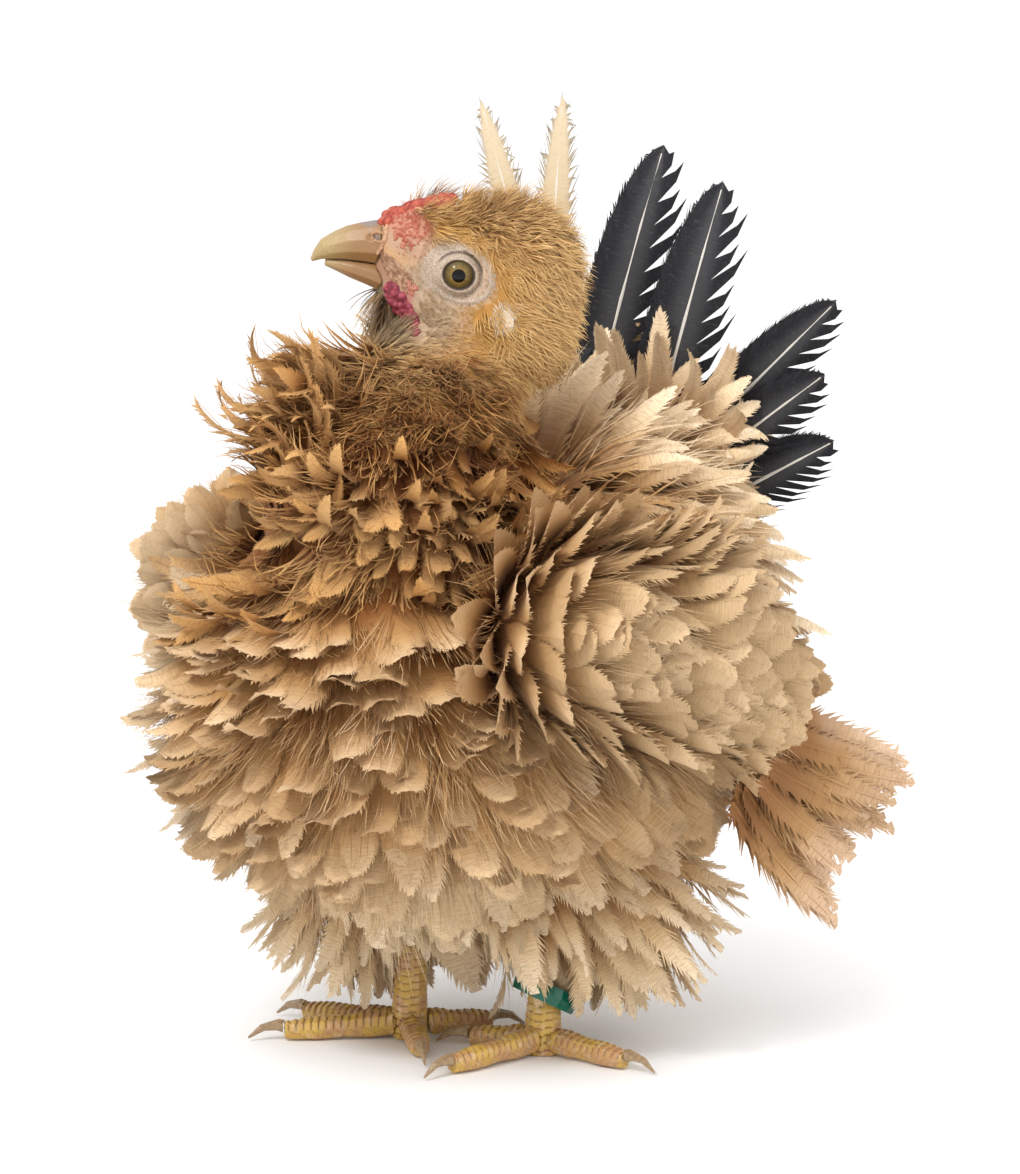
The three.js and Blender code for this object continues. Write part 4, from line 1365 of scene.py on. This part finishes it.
FLESH_VOXEL = 0.26
rng = np.random.default_rng(81)
COMB_PATH = [(0, -23, 5.4), (0, -18.5, 9.6), (0, -13, 13.2), (0, -7.5, 16.6)]
centres, sizes = [], []
for i in range(260):
    t = rng.random()
    at = along_curve(COMB_PATH, [t])[0]
    half = 1.4 + 3.0 * math.sin(math.pi * min(t * 0.8 + 0.25, 1)) ** 0.7
    x = rng.uniform(-1, 1) * half
    big = i < 60
    low = rng.uniform(0.6, 2.6) if big else 0.0
    centres.append((x, at[1] + rng.normal(0, 0.7), at[2] + 1.3 - 0.42 * x * x / half - low))
    sizes.append(1.7 if big else rng.uniform(0.35, 0.8))
comb_look = flesh("comb_flesh", (0.27, 0.03, 0.02), (0.44, 0.09, 0.05), 0.7)
knobbly("comb_knobs", centres, sizes, FLESH_VOXEL, comb_look, "red_skin", "comb")


# Lores: the bare skin between bill and eye. Below the comb the red flesh goes on in it as fine
# pimples that thin out towards the eye.
PIMPLES = 230
pimple_look = flesh("lore_skin", (0.30, 0.06, 0.035), (0.42, 0.17, 0.10), 0.8)
for side, name in SIDES:
    centres, sizes = [], []
    for i in range(PIMPLES):
        t, across = rng.random() ** 1.4, rng.uniform(-1, 1)
        y, z = -18.5 + 4.2 * t + across * (3.4 - 1.2 * t), 9.6 - 8.0 * t + across * 2.6
        centres.append((side * (on_face(side, y, z) - 0.1), y, z))
        sizes.append(rng.uniform(0.3, 0.62) * (1 - 0.35 * t))
    knobbly(f"pimples_{name}", centres, sizes, 0.24, pimple_look, "red_skin")


# Wattles: slim magenta lobes of wrinkled flesh that hang from the corners of the mouth, with a small
# pink rosette behind each one.
wattle_look = flesh("wattle_flesh", (0.17, 0.018, 0.035), (0.36, 0.065, 0.085), 0.7)
rosette_look = flesh("rosette_flesh", (0.40, 0.13, 0.09), (0.50, 0.23, 0.15), 1.2)
for side, name in SIDES:
    centres, sizes = [], []
    for i in range(150):
        t = rng.random()
        wide = 2.2 * math.sin(math.pi * (0.16 + 0.74 * t)) ** 0.7
        across = rng.uniform(-1, 1) * wide
        y, z = -16.6 + 10.2 * t + across * 0.66, -9.8 - 8.8 * t + across * 0.75
        centres.append((side * (max(on_face(side, y, z), 6.5) + rng.uniform(-0.5, 0.2)), y, z))
        sizes.append(1.15 if i < 110 else rng.uniform(0.4, 0.7))
    knobbly(f"wattle_lobe_{name}", centres, sizes, FLESH_VOXEL, wattle_look, "red_skin", f"wattle_{name}")
    centres, sizes = [], []
    for i in range(16):
        a, r = rng.uniform(0, 2 * math.pi), rng.uniform(0.2, 1.5)
        y, z = -10.6 + r * math.cos(a), -8.0 + 1.7 * r * math.sin(a)
        centres.append((side * (on_face(side, y, z) + 0.05), y, z))
        sizes.append(rng.uniform(0.4, 0.75))
    knobbly(f"rosette_{name}", centres, sizes, FLESH_VOXEL, rosette_look, "red_skin")


# Nostrils: a raised rim of soft skin about each opening at the root of the bill, and a low fold of
# it where the bill leaves the face.
nostril_look = flesh("nostril_skin", (0.36, 0.19, 0.10), (0.50, 0.30, 0.17), 0.9)
for side, name in SIDES:
    centres, sizes = [], []
    for a in np.linspace(0, 2 * math.pi, 26, endpoint=False):
        y = -23.2 + 2.0 * math.cos(a) - 0.3 * math.sin(a)
        z = 1.6 + 1.15 * math.sin(a) + 0.4 * math.cos(a)
        centres.append((side * (on_face(side, y, z) + 0.05), y, z))
        sizes.append(0.45 + 0.15 * math.sin(a))
    for t in np.linspace(0, 1, 24):
        y, z = -22.2 + 0.6 * math.sin(math.pi * t), 5.6 - 8.4 * t
        centres.append((side * on_face(side, y, z), y, z))
        sizes.append(0.5 + 0.25 * math.sin(math.pi * t) + rng.uniform(-0.1, 0.1))
    knobbly(f"nostril_rim_{name}", centres, sizes, 0.22, nostril_look, "white_skin")


# Gape: the corner of the mouth runs on into wrinkled folds of soft skin, down and back to the
# wattle's rosette.
gape_look = flesh("gape_skin", (0.22, 0.105, 0.055), (0.42, 0.25, 0.15), 0.9)
for side, name in SIDES:
    centres, sizes = [], []
    for k, drop in enumerate((-3.0, -1.5, 0.0, 1.5, 3.0)):
        path = [
            (0, -22.3 + 0.5 * k, -3.2 - drop * 0.5),
            (0, -18, -4.6 - drop * 0.7),
            (0, -14, -7.0 - drop * 0.9),
            (0, -10 - 0.6 * k, -10.0 - drop),
        ]
        for t in np.linspace(0, 1, 30):
            y, z = along_curve(path, [t])[0][1:]
            centres.append((side * (on_face(side, y, z) - 0.05), y, z))
            sizes.append(0.28 + 0.34 * math.sin(math.pi * t) ** 0.6)
    knobbly(f"gape_{name}", centres, sizes, FLESH_VOXEL, gape_look, "white_skin")


# Earlobes: pale skin under the ears, hidden in a fluff of short white down that grows round them.
def ear_down():
    rng = np.random.default_rng(91)
    shapes = wisps(500, [0] * 4, 4.2, 2.4, 7, 40, 0.28)
    look, tree, shader, where = material_of("ear_down", 0.85)
    colour = blended(tree, attribute(tree, "tone")["Fac"], (0.60, 0.53, 0.43), (0.78, 0.74, 0.66))
    stained = calc(tree, "MULTIPLY", noise(tree, in_head_frame(tree, where), 1.5), 0.4)
    wire(tree, blended(tree, stained, colour, (0.5, 0.4, 0.28)), shader.inputs["Base Color"])
    count = 110  # tufts on each earlobe
    for side, name in SIDES:
        roots = []
        for i in range(count):
            a, r = rng.uniform(0, 2 * math.pi), math.sqrt(rng.random()) * 2.6
            y, z = 14 + r * math.cos(a), -5.4 + 1.2 * r * math.sin(a)
            roots.append((side * (on_face(side, y, z) + 0.6), y, z))
        middle = np.array(HEAD.translation)
        outs = in_head(np.tile((side * 1.0, 0.15, 0.1), (count, 1))) - middle
        outs /= np.linalg.norm(outs, axis=1)[:, None]
        lies = np.stack([np.zeros(count), rng.normal(0.6, 0.4, count), rng.normal(-0.7, 0.4, count)], 1)
        lies = laid(in_head(lies) - middle, outs)
        picks, sizes, tones = rng.integers(0, 4, count), rng.uniform(0.7, 1.2, count), rng.random(count)
        piece, roots = "ear_down_" + name, in_head(roots)
        grown(piece, roots, lies, outs, picks, sizes, tones, shapes, look, "white_skin", middle)


ear_down()


# Beak: horn that is tan with growth lines, grey-blue at the base of the ridge and paler and greener
# at the tip. The lower half closes against it.
def smoothed(name, node, voxel, smooth):
    """A finer copy of a solid, its corners merged and its faces softened."""
    bm = bmesh.new()
    bm.from_mesh(nodes[node].data)
    bmesh.ops.remove_doubles(bm, verts=bm.verts, dist=0.00001)
    turn = nodes[node].matrix_world
    points = millimetres([turn @ v.co for v in bm.verts])
    faces = [[v.index for v in f.verts] for f in bm.faces]
    bm.free()
    return fused(name, [(points, faces)], voxel, smooth)


def beak_material():
    made, tree, shader, where = material_of("beak_horn", 0.38, Coat_Weight=0.15, Coat_Roughness=0.3)
    local = in_head_frame(tree, where)
    tipward = ramp(tree, split(tree, local)[1], -27, -37)
    colour = blended(tree, tipward, (0.26, 0.135, 0.048), (0.36, 0.265, 0.11))
    culmen = aim(tree, "DIVIDE", aim(tree, "SUBTRACT", local, (0, -27, 4.4)), (5, 4.0, 2.6))
    culmen = aim(tree, "LENGTH", culmen)
    colour = blended(tree, ramp(tree, culmen, 1.1, 0.5, 0.8), colour, (0.17, 0.16, 0.19))
    # Painted shade: the nostril opening inside its rim is coloured near black, for the shade in the hole.
    both_sides = aim(tree, "ABSOLUTE", aim(tree, "ADD", local, (0, 0, 10)))
    nostril = aim(tree, "SUBTRACT", both_sides, (5.4, 24.0, 11.5))
    nostril = aim(tree, "LENGTH", aim(tree, "DIVIDE", nostril, (3, 1.9, 0.8)))
    colour = blended(tree, ramp(tree, nostril, 1.2, 0.7, 0.85), colour, (0.07, 0.04, 0.03))
    grain = noise(tree, aim(tree, "MULTIPLY", local, (2.6, 0.35, 2.6)), 1.0, 3.0)
    colour = blended(tree, ramp(tree, grain, 0.4, 0.7, 0.55), colour, (0.27, 0.15, 0.06))
    wire(tree, colour, shader.inputs["Base Color"])
    bumped(tree, shader, grain, 0.5, 0.0003)
    return made


beak_look = beak_material()
for node, name in (("beak_upper", "bill_upper"), ("beak_lower", "bill_lower")):
    bill = smoothed(name, node, 0.3, 6)
    bill.data.materials.append(beak_look)
    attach(bill, "root")
    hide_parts(node)


# Feet: yellow-ochre skin under horny scales, broad overlapping scutes on top and small round ones
# below and behind, worn pale in places.
def scaled_material():
    made, tree, shader, where = material_of("scaled_skin", 0.42)
    own = enlarged(tree, where)
    edge = calc(tree, "MULTIPLY", attribute(tree, "scale_edge")["Fac"], 0.8)
    patchy = noise(tree, own, 0.16, 3.0)
    colour = blended(tree, ramp(tree, patchy, 0.38, 0.64), (0.58, 0.36, 0.07), (0.50, 0.27, 0.12))
    worn = ramp(tree, noise(tree, own, 0.5, 4.0), 0.5, 0.75, 0.6)
    colour = blended(tree, worn, colour, (0.70, 0.56, 0.38))
    colour = blended(tree, edge, colour, (0.20, 0.10, 0.04))
    wire(tree, colour, shader.inputs["Base Color"])
    bumped(tree, shader, noise(tree, own, 2.2, 4.0), 0.5, 0.0003)
    return made


scaled_look = scaled_material()


SCUTE_PITCH, SCUTE_HEIGHT, PEBBLE_HEIGHT = 2.1, 0.42, 0.16


def scaled(name, node):
    """A shank or toe with its scales raised from the skin, and its sole left flat."""
    made = smoothed(name, node, 0.42, 5)
    points = coordinates(made)
    normals = np.array([v.normal for v in made.data.vertices])
    middle = points.mean(0)
    spread = points - middle
    axis = np.linalg.svd(spread, full_matrices=False)[2][0]
    upright = abs(axis[2]) > 0.7
    top = np.array((0.35, -0.9, 0)) if upright else np.array((0, 0, 1.0))
    along = spread @ axis
    aside = np.cross(axis, top)
    facing = normals @ top
    across = spread @ (aside / np.linalg.norm(aside))
    scute = (along / SCUTE_PITCH + 0.12 * np.abs(across)) % 1
    plate = SCUTE_HEIGHT * scute - 0.30 * (scute < 0.12)
    cells = np.sin(points @ np.array((2.9, 1.2, 2.1))) * np.sin(points @ np.array((-1.7, 2.6, 2.4)))
    pebble = PEBBLE_HEIGHT * cells
    share = smoothstep(facing, 0.1, 0.45)
    height = plate * share + pebble * (1 - share)
    sole = smoothstep(-points[:, 2], -1.2, -0.4)
    place(made, points + normals * (height * (1 - sole) - 0.1)[:, None])
    between = smoothstep(-np.abs(cells), -0.25, -0.02) * 0.6
    edge = np.clip(share * (scute < 0.16) + (1 - share) * between, 0, 1)
    made.data.attributes.new("scale_edge", "FLOAT", "POINT").data.foreach_set("value", edge)
    made.data.materials.append(scaled_look)
    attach(made, "root")
    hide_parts(node)


for node in list(nodes):
    if node.startswith(("toe_", "shank_")):
        scaled("scaled_" + node, node)


# Claws, earlobe skin and the leg ring keep their solids. The claws are worn brown horn, the earlobes
# matt skin, and the ring is green plastic, clipped on above her left foot.
def plain_look(name, colour, roughness, speckle, height, **constants):
    made, tree, shader, where = material_of(name, roughness, **constants)
    fine = noise(tree, enlarged(tree, where), 0.9, 4.0)
    tone = blended(tree, ramp(tree, fine, 0.35, 0.7, 0.6), colour, speckle)
    wire(tree, tone, shader.inputs["Base Color"])
    bumped(tree, shader, fine, 0.6, height)
    return made


LOOKS = {
    "earlobe": plain_look("earlobe_skin", (0.72, 0.64, 0.52), 0.6, (0.58, 0.44, 0.28), 0.0005),
    "claw": plain_look("claw_horn", (0.36, 0.25, 0.14), 0.35, (0.20, 0.12, 0.06), 0.0002),
    "leg_ring": plain_look("ring_plastic", (0.0, 0.11, 0.062), 0.16, (0.0, 0.09, 0.05), 0.0001),
}
for node_name, solid in nodes.items():
    for key, look in LOOKS.items():
        if node_name.startswith(key):
            solid.data.materials.clear()
            solid.data.materials.append(look)
            solid.data.shade_smooth()
